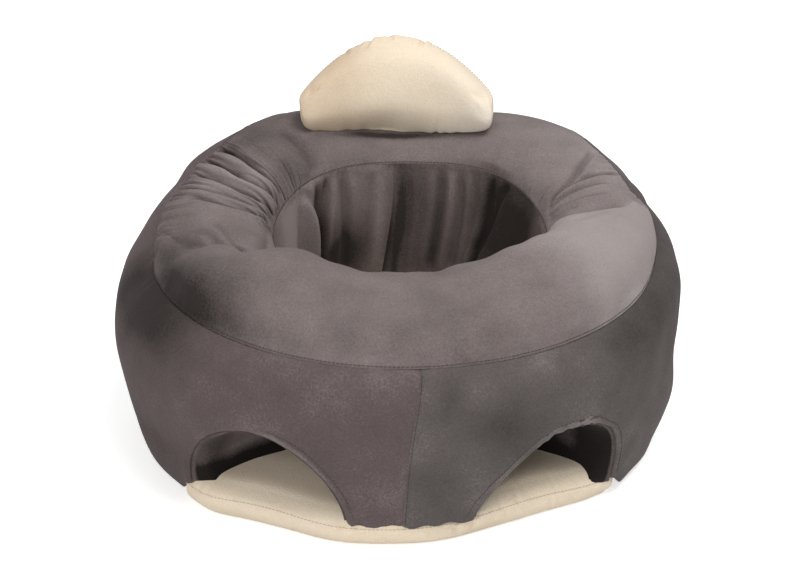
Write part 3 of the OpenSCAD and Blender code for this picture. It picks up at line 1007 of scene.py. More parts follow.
@dataclass(frozen=True)
class RingForm:
    """The stuffed ring's outside: its wall, its rounded top and the lining of its well.

    Its section at a turn runs from the foot of the wall up over the crest and down the lining.
    """

    foot_radius: Stations = Stations(0.215, 0.221, 0.220, 0.219, 0.215)
    bulge_radius: Stations = Stations(0.224, 0.228, 0.228, 0.230, 0.224)
    rim_radius: Stations = Stations(0.214, 0.208, 0.202, 0.208, 0.207)
    rim_height: Stations = Stations(0.147, 0.148, 0.157, 0.187, 0.186)
    crest_radius: Stations = Stations(0.153, 0.148, 0.163, 0.165, 0.158)
    crest_height: Stations = Stations(0.176, 0.195, 0.186, 0.2085, 0.2015)
    well_radius: Stations = Stations(0.109, 0.112, 0.108, 0.105, 0.097)
    well_height: Stations = Stations(0.170, 0.161, 0.162, 0.178, 0.181)
    bulge_height: float = 0.104
    foot: float = 0.020
    floor: float = 0.0293
    well_taper: float = 0.014
    leg_left: Leg = Leg(9.7, 44.3, 0.0685, 1.85, 1.95, sag=0.006)
    leg_right: Leg = Leg(15.4, 47.0, 0.0625, 1.38, 3.3, ripple=0.0010, sag=0.002)
    inner_narrowing: float = 8.0
    inner_lower: float = 0.006
    inner_fullness: float = 2.4
    tunnel_bulge: float = 6.5
    side_foot_drop: float = 0.0105
    pommel_swells: tuple[Swell, ...] = (Swell(-5, 5, -0.0016), Swell(10, 4, 0.0024))
    # Knots of the rounded top, as shares of the way in radius and height
    rim_to_crest: tuple[float, float] = (0.28, 0.68)
    crest_to_seam: tuple[float, float] = (0.66, 0.26)
    # Knots that give the slope below the rim, and past the well's seam in radius and height
    below_rim: float = 0.022
    past_seam: tuple[float, float] = (0.003, 0.028)
    # How far the ring leans to the right at its foot, and by how much more higher up
    foot_lean: float = -0.002
    top_lean: float = 0.0053
    well_lean: float = 0.0045
    left_back_flat: Swell = Swell(-120, 24, -0.0030)
    right_shoulder: Swell = Swell(98, 16, 0.0050)
    right_hollow: Swell = Swell(80, 24, -0.0045)
    left_back_lift: Swell = Swell(-143, 22, 0.0030)
    lip_tilt: tuple[Swell, ...] = (Swell(32, 24, 0.0024), Swell(-30, 16, -0.0022))
    wall_steps: int = 96
    top_steps: int = 100
    lining_steps: int = 110

    def wall_radius(self, turn: Array, height: Array) -> Array:
        """Radius of the outer wall at each turn and height."""
        bulge, foot = self.bulge_radius.at(turn), self.foot_radius.at(turn)
        rim, top = self.rim_radius.at(turn), self.rim_height.at(turn)
        low = np.clip((self.bulge_height - height) / (self.bulge_height - self.foot), 0, None)
        high = np.clip((height - self.bulge_height) / (top - self.bulge_height), 0, None)
        return bulge - (bulge - foot) * low**2.5 - (bulge - rim) * high**3.5

    def lining_radius(self, turn: Array, height: Array) -> Array:
        """Radius of the well's lining at each turn and height."""
        top = self.well_height.at(turn)
        share = np.clip((top - height) / (top - self.foot), 0, None)
        return self.well_radius.at(turn) - self.well_taper * share**1.2

    def leg_rise(self, turn: Array) -> Array:
        """Height of a leg opening's edge above the base seam, 0 beside the openings."""
        return np.where(np.asarray(turn) < 0, self.leg_left.rise(turn), self.leg_right.rise(turn))

    def leg(self, side: Side) -> Leg:
        """The leg opening of a side, in the wall."""
        return self.leg_left if side is Side.LEFT else self.leg_right

    def inner_leg(self, side: Side) -> Leg:
        """The same opening where it comes out in the well, which is narrower."""
        leg = self.leg(side)
        far, height = leg.far - self.inner_narrowing, leg.height - self.inner_lower
        return Leg(leg.near, far, height, leg.near_fullness, self.inner_fullness)

    def foot_at(self, turn: Array) -> Array:
        """Height of the wall's foot, which hangs lower behind the leg openings."""
        far = np.where(np.asarray(turn) < 0, self.leg_left.far, self.leg_right.far)
        foot = self.foot - self.side_foot_drop * ease((side_turn(turn) - far) / 4)
        for swell in self.pommel_swells:
            foot = foot + swell.at(turn)
        return foot

    def top_point(self, turn: Array, share: Array) -> tuple[Array, Array]:
        """A point of the rounded top.

        Args:
            turn: Turns from straight ahead.
            share: Share of the way from the rim over the crest to the well's seam.

        Returns:
            The point's radius and height.
        """
        rim = np.stack([self.rim_radius.at(turn), self.rim_height.at(turn)])
        crest = np.stack([self.crest_radius.at(turn), self.crest_height.at(turn)])
        seam = np.stack([self.well_radius.at(turn), self.well_height.at(turn)])
        outer = rim + (crest - rim) * np.array(self.rim_to_crest)[:, None, None]
        inner = crest + (seam - crest) * np.array(self.crest_to_seam)[:, None, None]
        low = rim[1] - self.below_rim
        before = np.stack([self.wall_radius(turn, low), low])
        after = seam - np.array(self.past_seam)[:, None, None]
        knots = np.stack([before, rim, outer, crest, inner, seam, after])
        place = np.clip(np.asarray(share) * 4, 0, 3.99999)
        i = np.floor(place).astype(int)
        picked = [np.take_along_axis(knots, (i + k)[None, None], axis=0)[0] for k in range(4)]
        made = catmull(*picked, place - i)
        return made[0], made[1]

    def seam_share(self, turn: Array) -> Array:
        """How far up the rounded top the rim seam lies, which climbs behind the seat's sides."""
        left = 0.36 * ease((-turn - 70) / 45) * ease((165 + turn) / 30)
        right = 0.33 * rising(turn, 84, 15) * falling(turn, 150, 30)
        return left + right

    def slid(self, turn: Array, stage: Array) -> Array:
        """Turns with the seams' drift, as sewn.

        Args:
            turn: Turns as cut.
            stage: 0 at the foot, 1 at the rim, 2 at the well's seam and 3 below the lining.

        Returns:
            Turns as sewn: the front seam leans right and the lining's back seam leans left.
        """
        stops = [0, 1, 2, 3]
        front = np.interp(stage, stops, [1.0, 3.0, 0.0, 0.0])
        back = np.interp(stage, stops, [0.0, 0.0, 7.5, 11.5])
        at_front = np.clip(1 - side_turn(turn) / 8, 0, 1)
        at_back = rising(side_turn(turn), 140, 40)
        return turn + front * at_front + back * at_back

    def drape(self, points: Array) -> Array:
        """Settles the ring as the stuffing does.

        It leans to the right, its left back is flatter and higher, its right side is hollow
        below a full shoulder, and its lip tilts down on the left.

        Args:
            points: Points of the even ring.

        Returns:
            The settled points.
        """
        height = points[..., 2]
        radius = np.hypot(points[..., 0], points[..., 1])
        turn = np.degrees(np.arctan2(points[..., 0], -points[..., 1]))
        lean = self.foot_lean + self.top_lean * rising(height, 0.06, 0.10)
        near_well = self.well_lean * falling(radius, 0.15, 0.045)
        lean += near_well * rising(height, 0.05, 0.1)
        out = self.left_back_flat.at(turn) * rising(height, 0.09, 0.05)
        out += self.right_shoulder.at(turn) * hump(height, 0.165, 0.025)
        half_way = rising(height, 0.05, 0.04) * (1 - rising(height, 0.13, 0.04))
        out += self.right_hollow.at(turn) * half_way
        out *= rising(radius, 0.12, 0.06)
        moved = points + outward(points) * out[..., None]
        moved[..., 0] += lean
        lift = self.left_back_lift.at(turn) * rising(height, 0.15, 0.04)
        moved[..., 2] += lift * rising(radius, 0.150, 0.015)
        tilt = self.lip_tilt[0].at(turn) + self.lip_tilt[1].at(turn)
        tilt *= rising(height, 0.15, 0.02) * falling(radius, 0.162, 0.02)
        moved[..., 2] += tilt
        return moved

    def section(self, turn: Array) -> tuple[Array, Array]:
        """The ring's whole section at each turn.

        Args:
            turn: Turns of the columns.

        Returns:
            A grid of points, and its outward normals.
        """
        turn = np.asarray(turn)[None, :]
        up = np.linspace(0, 1, self.wall_steps + 1)[:-1, None]
        over = np.linspace(0, 1, self.top_steps + 1)[:-1, None]
        down = np.linspace(0, 1, self.lining_steps + 1)[:, None]
        at = self.slid(turn, up)
        height = self.foot_at(at) + (self.rim_height.at(at) - self.foot_at(at)) * up
        wall = polar(at, self.wall_radius(at, height), height)
        at = self.slid(turn, 1 + over)
        radius, height = self.top_point(at, over + 0 * at)
        top = polar(at, radius, height)
        at = self.slid(turn, 2 + down)
        height = self.well_height.at(at) + (self.foot - self.well_height.at(at)) * down
        lining = polar(at, self.lining_radius(at, height), height)
        line = self.drape(np.concatenate([wall, top, lining]))
        return line, grid_normals(line, wrap=False)


@dataclass
class SewnPart:
    """A sewn part of the seat: its finishes, the ring's form and the body that carries it."""

    finishes: Finishes
    form: RingForm = field(default_factory=RingForm)
    body: str = "seat"
    fill: float = 0.7
    bag_fill: float = 0.7

    def dress(self, piece: Piece, slot: str, *nodes: str) -> Piece:
        """Lets a soft piece ride on the part's body and stand for nodes of the frame.

        Args:
            piece: A cover or a stuffing bag.
            slot: Not used.
            *nodes: The nodes that it replaces.

        Returns:
            The same piece.
        """
        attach(piece, self.body)
        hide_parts(*nodes)
        return piece


# Radii on which distances round the wall, the lining and its openings are measured
WALL_RADIUS = 0.22
LINING_RADIUS = 0.1
INNER_RADIUS = 0.095
# Metres that the two coordinates of a crease stand for, on the top and on the lining
TOP_SCALE = (math.radians(1) * 0.155, 0.128)
LINING_SCALE = (math.radians(1) * LINING_RADIUS, 1.0)

# Creases of the top panel, as turn and share from the rim to the well's seam
LEFT_WAIST = ((-80, 0.12), (-72, 0.28), (-66, 0.45), (-63, 0.62), (-61, 0.88), (-61, 1.25))
LEFT_BELLY = ((-60, 0.32), (-54, 0.45), (-50, 0.58), (-48.5, 0.80), (-48.5, 1.25))
LEFT_TUCK = ((-84, 0.12), (-77, 0.25), (-71, 0.36), (-66, 0.46), (-60, 0.54), (-52, 0.56))
RIGHT_WAIST = ((82, 0.95), (80, 0.72), (84, 0.60), (88, 0.46), (92, 0.33))
WAISTS = (
    Fold(LEFT_WAIST, 0.0140, 0.0220, roll=0.0, fade=0.2),
    Fold(LEFT_BELLY, 0.0155, 0.0200, roll=0.0, fade=0.25),
    Fold(LEFT_TUCK, 0.0040, 0.0050, roll=0.2),
    Fold(RIGHT_WAIST, 0.0045, 0.0100, roll=0.2),
    Fold(RIGHT_WAIST, 0.0040, 0.0030, roll=0.3),
)
TOP_FOLDS = (
    Fold(((-119, 0.30), (-116.5, 0.50), (-114, 0.64), (-109.5, 0.78), (-108, 0.96)), 0.0120, 0.0042),
    Fold(((-111.5, 0.28), (-109, 0.48), (-107, 0.60), (-103, 0.72), (-100.5, 1.0)), 0.0125, 0.0040),
    Fold(((-104, 0.34), (-102, 0.52), (-99, 0.64), (-95.5, 0.76), (-94, 0.98)), 0.0070, 0.0034),
    Fold(((-98, 0.30), (-95.5, 0.48), (-93.5, 0.62), (-90.5, 0.80), (-90, 0.96)), 0.0050, 0.0032),
    Fold(((-92, 0.40), (-87.5, 0.58), (-85, 0.77), (-87, 0.96)), 0.0055, 0.0034),
    Fold(((-77.5, 0.50), (-69.5, 0.575), (-56, 0.56)), 0.0020, 0.0030),
    Fold(((-75, 0.38), (-72, 0.45), (-66.5, 0.475)), 0.0018, 0.0026),
    Fold(((-136.5, 0.56), (-134, 0.78), (-132, 1.0)), 0.0030, 0.0080),
    Fold(((98, 0.92), (103.5, 0.68), (111.5, 0.53), (118, 0.36)), 0.0046, 0.0026),
    Fold(((97, 0.94), (101, 0.70), (104, 0.55), (105, 0.42), (107, 0.22)), 0.0052, 0.0026),
    Fold(((95, 0.94), (97, 0.74), (99, 0.58), (100, 0.44)), 0.0036, 0.0022),
    Fold(((92, 0.94), (92, 0.76), (93, 0.62), (95, 0.48)), 0.0034, 0.0022),
    Fold(((88, 0.94), (87, 0.78), (88, 0.66)), 0.0024, 0.0022),
    Fold(((66, 0.62), (72, 0.56), (80, 0.50)), 0.0016, 0.0050),
)
TOP_RIM_GATHERS = (
    Gathers(-126, -74, 1.7, 0.036, 0.0042, slant=130.0, seed=3),
    Gathers(88, 122, 2.6, 0.024, 0.0024, slant=-60.0, seed=5),
    Gathers(-70, 84, 5.5, 0.014, 0.0011, seed=8),
)
TOP_WELL_GATHERS = (
    Gathers(-126, -78, 2.1, 0.036, 0.0038, slant=-130.0, seed=4),
    Gathers(88, 112, 2.2, 0.018, 0.0022, slant=40.0, seed=6),
    Gathers(-178, 178, 4.5, 0.010, 0.0007, seed=9, fade=2.0),
)
# Creases of the well's lining, as turn and height
DEEP_PLEATS = (
    Fold(((-131.5, 0.178), (-133, 0.144), (-134, 0.095), (-134, 0.06)), 0.0110, 0.0050, side=1),
    Fold(((136, 0.180), (138.5, 0.141), (141, 0.100), (142, 0.07)), 0.0115, 0.0050),
    Fold(((128, 0.178), (134, 0.143), (138.5, 0.105)), 0.0080, 0.0040, side=1),
    Fold(((-125, 0.174), (-129.5, 0.145), (-133, 0.100)), 0.0070, 0.0036, side=1),
    Fold(((-138, 0.178), (-137, 0.150), (-135, 0.105)), 0.0060, 0.0034),
)
SOFT_PLEAT_TURNS = (-162, -154, -146.5, -139.5, -124, 147, 155, 163.5, 173, 181)
# How much darker a metre of depth makes a crease: painted shade in the creases
CREASE_SHADE = 42.0
# Patches of nap and painted shade on the walls, at turns and heights
WALL_PATCHES = {
    Side.LEFT: (
        Patch(-68, 0.142, 13, 0.024, -0.52),
        Patch(-60, 0.130, 22, 0.030, -0.12),
        Patch(-52, 0.142, 11, 0.016, -0.26),
        Patch(-80, 0.110, 22, 0.040, -0.18),
        Patch(-62, 0.040, 26, 0.030, -0.22),
        Patch(-5, 0.110, 7, 0.035, -0.10),
    ),
    Side.RIGHT: (
        Patch(8, 0.125, 3, 0.020, -0.14),
        Patch(16, 0.105, 6, 0.015, -0.14),
        Patch(24, 0.125, 6, 0.015, -0.10),
        Patch(22, 0.090, 8, 0.022, -0.20),
        Patch(6, 0.060, 5, 0.030, -0.16),
        Patch(78, 0.115, 26, 0.060, -0.32),
        Patch(50, 0.138, 16, 0.018, -0.20),
    ),
}
# Patches of nap, painted shade and painted light on the top, at turns and shares
# from the rim to the well's seam
TOP_PATCHES = (
    Patch(-52, 0.04, 12, 0.14, -0.44),
    Patch(-46, 0.18, 15, 0.20, -0.24),
    Patch(-66, 0.10, 10, 0.12, -0.25),
    Patch(-33, 0.05, 9, 0.08, -0.14),
    Patch(-72, 0.20, 12, 0.20, -0.14),
    Patch(-128, 0.55, 10, 0.30, -0.18),
    Patch(-120, 0.82, 6, 0.14, -0.18),
    Patch(8, 0.26, 22, 0.16, -0.10),
    # Painted shadow on the ring's top under the pillow's front edge
    Patch(-180, 0.725, 24, 0.034, -0.70),
    Patch(180, 0.725, 22, 0.034, -0.60),
    Patch(-104, 0.66, 12, 0.20, 0.34),
    Patch(-98, 0.30, 16, 0.16, -0.14),
    Patch(-38, 0.12, 14, 0.20, 0.02),
    Patch(-152, 0.50, 16, 0.30, -0.14),
    Patch(150, 0.50, 22, 0.30, 0.10),
    Patch(112, 0.36, 20, 0.26, 0.30),
    Patch(90, 0.30, 10, 0.26, 0.12),
    Patch(62, 0.24, 16, 0.24, 0.14),
    Patch(66, 0.70, 26, 0.22, 0.14),
)
# Patches of nap, painted shade and painted light on the well's lining, at turns and heights
LINING_PATCHES = (
    Patch(-112, 0.130, 16, 0.060, 0.54),
    Patch(-164, 0.130, 4, 0.060, 0.24),
    Patch(-148, 0.102, 14, 0.024, -0.62),
    Patch(-148, 0.156, 10, 0.028, 0.22),
    Patch(190, 0.105, 3, 0.045, -0.60),
    Patch(184, 0.120, 2.6, 0.050, -0.50),
    Patch(163, 0.105, 9, 0.035, -0.28),
    Patch(138, 0.130, 8, 0.050, -0.22),
    Patch(132, 0.166, 8, 0.020, -0.25),
    Patch(112, 0.130, 8, 0.050, -0.25),
    Patch(178, 0.120, 9, 0.080, -0.25),
    Patch(156, 0.130, 8, 0.060, 0.12),
    Patch(122, 0.125, 17, 0.060, -0.55),
)


def soft_pleat(turn: float) -> Fold:
    """A shallow pleat that hangs from the well's seam."""
    sway = 1.5 * math.sin(turn)
    depth = 0.0040 + 0.0020 * math.cos(3 * turn)
    return Fold(((turn, 0.180), (turn + sway, 0.140), (turn + 1.5 * sway, 0.075)), depth, 0.0048)


@dataclass
class PlushRing(SewnPart):
    """The ring: two wall panels, the top panel, the well's lining and the leg openings' linings."""

    fill: float = 0.85
    bag_fill: float = 0.9
    edge_round: float = 0.003
    facing: float = 0.006
    lining_round: float = 0.006
    stitch_inset: float = 0.006
    groove_depth: float = 0.0008
    groove_width: float = 0.0016
    dip_depth: float = 0.0006
    dip_width: float = 0.012
    front_columns: int = 32
    opening_columns: int = 84
    back_columns: int = 250
    bag_inset: float = 0.016
    bag_columns: int = 180

    def turns(self, side: Side, leg: Leg) -> Array:
        """Turns of a side panel's columns, closer together at its opening's upright edges."""
        before = crowded(0, leg.near, self.front_columns, ((leg.near, 2, 3.0), (0, 1.5, 2.0)))
        after = crowded(leg.far, 180, self.back_columns, ((leg.far, 3, 6.0), (180, 2, 2.0)))
        turns = np.concatenate([before[:-1], leg.turns(self.opening_columns), after[1:]])
        return turns if side is Side.RIGHT else -turns[::-1]

    def groove(self, away: Array) -> Array:
        """How far the cloth is drawn in at a distance from a seam."""
        tight = self.groove_depth * np.exp(-np.abs(away) / self.groove_width)
        return -tight - self.dip_depth * hump(away, 0, self.dip_width)

    def edge_distance(self, leg: Leg, turn: Array, height: Array, radius: float) -> Array:
        """Distance of each point of a panel from the edge of a leg opening.

        Args:
            leg: The opening.
            turn: Turn of each point.
            height: Height of each point.
            radius: Radius on which the edge's distance is measured.

        Returns:
            The distance.
        """
        edge = leg.edge(240, radius)
        along, up = np.radians(edge) * radius, self.form.foot + leg.rise(edge)
        x, z = np.broadcast_arrays(np.radians(side_turn(turn)) * radius, height)
        away = np.full(x.shape, np.inf)
        for edge_x, edge_z in zip(along, up, strict=True):
            away = np.minimum(away, np.hypot(x - edge_x, z - edge_z))
        return away

    def rounding(self, side: Side, turn: Array) -> Array:
        """Radius at which the wall turns into a leg opening, larger where its facing shows."""
        faced = self.facing if side is Side.RIGHT else 0.0
        return self.edge_round + faced * (1 - rising(side_turn(turn), 36, 7))

    def turned_in(self, away: Array, radius: Array) -> Array:
        """How far the cloth turns in at a distance from a leg opening's edge."""
        near = np.clip(1 - away / radius, 0, 1)
        return radius * (1 - np.sqrt(1 - near**2))

    def wall(self, side: Side) -> list[Piece]:
        """Makes one wall panel, with the stitches round its leg opening.

        Args:
            side: Which side.

        Returns:
            The panel and its stitches.
        """
        f = self.form
        leg = f.leg(side)
        turn = self.turns(side, leg)
        line, normals = f.section(turn)
        start = f.leg_rise(turn) / (f.rim_height.at(turn) - f.foot_at(turn)) * f.wall_steps
        end = f.wall_steps + f.seam_share(turn) * f.top_steps
        place = start + (end - start) * (np.linspace(0, 1, 96) ** 1.25)[:, None]
        grid = pick(line, place)
        cloth = Cloth(f"outer_wall_{side.word}_plush", grid, held_normals=unit(pick(normals, place)))
        far = along_rows(grid)
        turn = turn[None, :] + 0 * far
        height = grid[..., 2].copy()
        away = self.edge_distance(leg, turn, height, WALL_RADIUS)
        radius = self.rounding(side, turn)
        cloth.grid = grid - outward(grid) * self.turned_in(away, radius)[..., None]
        self.sculpt_wall(side, cloth, turn, far, height, away)
        # The wall's tone: nap patches, painted shade and a painted edge highlight
        cloth.nap = self.wall_tone_and_painted_light(side, turn, height, away - radius)
        finish = self.finishes.wall_left if side is Side.LEFT else self.finishes.wall_right
        piece = cloth.solid(finish)
        self.dress(piece, "plush_grey", f"outer_wall_{side.word}")
        made = [piece, self.topstitch(side, cloth, turn, height)]
        if side is Side.RIGHT:
            column = (slice(4, -2), 2)
            row = StitchRow("front_seam_stitches")
            ways = cloth.held_normals[column]
            made.append(row.lay(cloth.grid[column], ways, self.finishes.thread))
        return made

    def sculpt_wall(
        self, side: Side, cloth: Cloth, turn: Array, far: Array, height: Array, away: Array
    ) -> None:
        """Gives a wall panel its seams, its uneven stuffing, its gathers and its wavy hem.

        Args:
            side: Which side.
            cloth: The panel.
            turn: Turn of each of its points.
            far: Distance of each from the foot, along the cloth.
            height: Height of each.
            away: Distance of each from the leg opening's edge.
        """
        to_rim = far[-1:] - far
        to_front = np.radians(side_turn(turn)) * WALL_RADIUS
        to_back = math.pi * WALL_RADIUS - to_front
        calm = ease(np.minimum(to_rim, np.minimum(to_front, to_back)) / 0.008)
        calm = calm * ease(away / 0.012)
        seed = 21 if side is Side.LEFT else 22
        uneven = 0.0011 * lumps(turn, height, seed, 0.055)
        uneven = uneven + 0.0005 * lumps(turn, height, seed + 10, 0.020)
        at_foot = np.where(side_turn(turn) < 12, 1.0, 0.3)
        foot = at_foot * all_round(3.0, 0.010, 0.0022, seed).height(turn, far)
        foot = foot * ease(away / 0.008)
        below_rim = all_round(5.0, 0.010, 0.0008, seed + 1).height(turn, to_rim)
        groove = self.groove(to_rim) + self.groove(to_front) + self.groove(to_back)
        cloth.push(groove + calm * uneven + foot + below_rim)
        hem = hump(far, 0, 0.006) * ease(away / 0.010)
        hem = hem * ease((self.form.leg(side).near - side_turn(turn)) / 2)
        cloth.grid[..., 2] += 0.0010 * hem * wave(turn / 7, seed + 2)

    def wall_tone_and_painted_light(self, side: Side, turn: Array, height: Array, away: Array) -> Array:
        """Tone of a wall: nap, painted shade, and a painted highlight along the opening's edge."""
        if side is Side.LEFT:
            edge = 0.16 * ease((turn + 28) / 6) * ease((-turn - 10) / 4)
        else:
            edge = 0.14 * rising(turn, 16, 6) * (1 - rising(turn, 37, 5))
        # Painted highlight along the turned edge of the leg opening
        light = edge * (1 - ease(away / 0.0015))
        return toned(WALL_PATCHES[side], turn, height) + light

    def topstitch(self, side: Side, cloth: Cloth, turn: Array, height: Array) -> Piece:
        """Sews round a leg opening, a little outside its edge.

        Args:
            side: Which opening.
            cloth: The wall panel.
            turn: Turn of each of its points.
            height: Height of each before it was sculpted.

        Returns:
            The stitches.
        """
        leg = self.form.leg(side)
        edge = leg.edge(120, WALL_RADIUS)
        curve = np.stack([np.radians(edge) * WALL_RADIUS, self.form.foot + leg.rise(edge)], axis=1)
        ahead = unit(np.gradient(curve, axis=0))
        beside = self.stitch_inset
        if side is Side.RIGHT:
            beside = self.rounding(side, edge)[:, None] + 0.0006
        route = curve + np.stack([-ahead[:, 1], ahead[:, 0]], axis=1) * beside
        keep = route[:, 1] > self.form.foot + 0.004
        if side is Side.LEFT:
            keep &= edge < 25
        flat = np.radians(side_turn(turn)) * WALL_RADIUS
        points, normals = cloth.found(flat, height, route[keep])
        row = StitchRow(f"leg_opening_{side.word}_stitches")
        return row.lay(points, normals, self.finishes.thread)

    def top(self) -> list[Piece]:
        """Makes the top panel, one closed band, with the stitches of both its seams.

        Returns:
            The panel and its stitches.
        """
        f = self.form
        turn = crowded(-180, 180, 841, ((-98, 28, 2.0), (98, 20, 1.0)))[:-1]
        line, _ = f.section(turn)
        begin = f.seam_share(turn)[None, :]
        even = np.linspace(0, 1, 92)[:, None]
        share = begin + (1 - begin) * (even - 0.05 * np.sin(2 * math.pi * even))
        cloth = Cloth("ring_top_plush", pick(line, f.wall_steps + share * f.top_steps), wrap=True)
        far = along_rows(cloth.grid)
        to_rim, to_well = far, far[-1:] - far
        turn = turn[None, :] + 0 * far
        x, y = turn * TOP_SCALE[0], share * TOP_SCALE[1]
        calm = ease(np.minimum(to_rim, to_well) / 0.009)
        under_pillow = 0.3 + 0.7 * falling(side_turn(turn), 155, 20)
        uneven = 0.0009 * lumps(turn, y, 31, 0.050) + 0.0005 * lumps(turn, y, 32, 0.020)
        waists = sum(fold.height(x, y, TOP_SCALE) for fold in WAISTS)
        cloth.push(calm * (waists + under_pillow * uneven))
        folds = calm * sum(fold.height(x, y, TOP_SCALE) for fold in TOP_FOLDS)
        cloth.push(folds)
        gathers = sum(g.height(turn, to_rim) for g in TOP_RIM_GATHERS)
        gathers = gathers + sum(g.height(turn, to_well) for g in TOP_WELL_GATHERS)
        cloth.push(self.groove(to_rim) + self.groove(to_well) + gathers)
        # Painted light on the band in front of the right waist crease, painted shade in folds and
        # gathers
        before_waist = np.interp(share, *np.array(RIGHT_WAIST)[::-1, ::-1].T) - turn
        painted_light_band = 0.46 * ease(before_waist / 3 + 0.5) * rising(turn, 28, 30)
        shade = CREASE_SHADE * np.minimum(folds + gathers, 0)
        cloth.nap = painted_light_band + shade + toned(TOP_PATCHES, turn, share)
        piece = cloth.solid(self.finishes.top)
        made = [self.dress(piece, "plush_grey", "ring_top_panel")]
        normals = cloth.normals()
        for name, at in (("rim_seam_stitches", 2), ("well_seam_stitches", -3)):
            row = StitchRow(name)
            made.append(row.lay(cloth.grid[at], normals[at], self.finishes.thread, wrap=True))
        return made

    def lining(self, side: Side) -> Piece:
        """Makes one half of the well's lining.

        Args:
            side: Which side.

        Returns:
            The panel.
        """
        f = self.form
        leg = f.inner_leg(side)
        turn = self.turns(side, leg)
        line, normals = f.section(turn)
        seam_row = f.wall_steps + f.top_steps
        rise = np.where(side_turn(turn) < leg.far, leg.rise(turn), 0)
        low = np.maximum(f.floor, f.foot + rise)
        well = f.well_height.at(f.slid(turn, 2.0))
        end = seam_row + (well - low) / (well - f.foot) * f.lining_steps
        down = (1 - (1 - np.linspace(0, 1, 84)) ** 1.25)[:, None]
        place = seam_row + (end - seam_row) * down
        grid = pick(line, place)
        cloth = Cloth(f"well_lining_{side.word}_plush", grid, held_normals=unit(pick(normals, place)))
        far = along_rows(grid)
        height = grid[..., 2].copy()
        away = self.edge_distance(leg, turn[None, :], height, INNER_RADIUS)
        as_sewn = f.slid(turn[None, :], 2 + (place - seam_row) / f.lining_steps)
        x = as_sewn * LINING_SCALE[0]
        calm = ease(far / 0.006) * ease(away / 0.010)
        pleats = [*DEEP_PLEATS, *map(soft_pleat, SOFT_PLEAT_TURNS)]
        folds = sum(fold.height(x, height, LINING_SCALE) for fold in pleats)
        to_front = np.radians(side_turn(turn))[None, :] * LINING_RADIUS + 0 * far
        to_back = math.pi * LINING_RADIUS - to_front
        calm = calm * ease(np.minimum(to_front, to_back) / 0.004)
        uneven = 0.0010 * lumps(as_sewn, height, 41, 0.040)
        gathers = all_round(3.0, 0.012, 0.0014, seed=44, end=190).height(as_sewn, far)
        cloth.grid = grid + outward(grid) * self.turned_in(away, self.lining_round)[..., None]
        groove = self.groove(far) + self.groove(to_front) + self.groove(to_back)
        cloth.push(groove + gathers * ease(away / 0.01) + calm * (folds + uneven))
        # Painted shade in the lining's pleats
        shade = CREASE_SHADE * np.minimum(calm * folds, 0)
        cloth.nap = shade + toned(LINING_PATCHES, as_sewn, height)
        piece = cloth.solid(self.finishes.well)
        return self.dress(piece, "plush_grey", f"well_lining_{side.word}")

    def tunnel(self, side: Side) -> Piece:
        """Makes the lining of one leg opening.

        Args:
            side: Which side.

        Returns:
            The lining.
        """
        f = self.form
        share = np.linspace(0, 1, 70)[:, None]
        ends = []
        for leg, surface in ((f.leg(side), f.wall_radius), (f.inner_leg(side), f.lining_radius)):
            turn = leg.edge(140, WALL_RADIUS)
            turn = turn if side is Side.RIGHT else -turn[::-1]
            rise = leg.rise(turn)
            height = np.maximum(f.foot - leg.sag, f.foot + rise - 0.008 * (rise < 0.002))
            ends.append((turn, f.drape(polar(turn, surface(turn, height), height))))
        (turn, outer), (_, inner) = ends
        outer = outer - outward(outer) * self.rounding(side, turn)[:, None]
        inner = inner + outward(inner) * self.lining_round
        grid = self.bulged(side, outer + (inner - outer) * share[..., None], share)
        cloth = Cloth(f"leg_opening_{side.word}_plush", grid)
        far = along_rows(grid)
        calm = ease(np.minimum(far, far[-1:] - far) / 0.006)
        cloth.push(calm * 0.0010 * lumps(turn[None, :] * 3, far, 51, 0.030))
        # The opening's lining gets painted shade and light
        cloth.nap = self.tunnel_painted_shade_and_light(side, turn, grid[..., 2], far)
        piece = cloth.solid(self.finishes.opening)
        return self.dress(piece, "plush_grey", f"leg_tunnel_{side.word}")

    def tunnel_painted_shade_and_light(self, side: Side, turn: Array, height: Array, far: Array) -> Array:
        """Painted tone of an opening's lining: shade at its foot and inside its outer edge.

        Args:
            side: Which side.
            turn: Turn of each column.
            height: Height of each point.
            far: Distance of each point from the wall.

        Returns:
            The tone.
        """
        high = rising(height, 0.031, 0.014)
        upright = 1 - ease((self.form.leg(side).far - side_turn(turn) - 3) / 7)
        edge = upright * ease(far / 0.004) * (1 - rising(far, 0.020, 0.020))
        # Painted light high in the opening, more on the left; elsewhere painted shade
        lit = 0.80 if side is Side.LEFT else 0.35
        return np.where(far < 0.003, -0.10, lit * high - 0.70 - 0.35 * edge * high)

    def bulged(self, side: Side, grid: Array, share: Array) -> Array:
        """Swells the foot of a leg opening's outer side, where the stuffing presses on it.

        Args:
            side: Which side.
            grid: The lining's points.
            share: Share of the way in of each row.

        Returns:
            The moved points.
        """
        turn = np.degrees(np.arctan2(grid[..., 0], -grid[..., 1]))
        low = np.exp(-(grid[..., 2] - self.form.foot) / 0.016)
        ends = ease(share / 0.08) * falling(share, 1, 0.2)
        far_side = ease((side_turn(turn) - self.form.leg(side).middle) / 4)
        bulge = self.form.tunnel_bulge * (1.0 if side is Side.LEFT else 0.6)
        moved = turn - side.value * bulge * low * ends * far_side
        return polar(moved, np.hypot(grid[..., 0], grid[..., 1]), grid[..., 2])

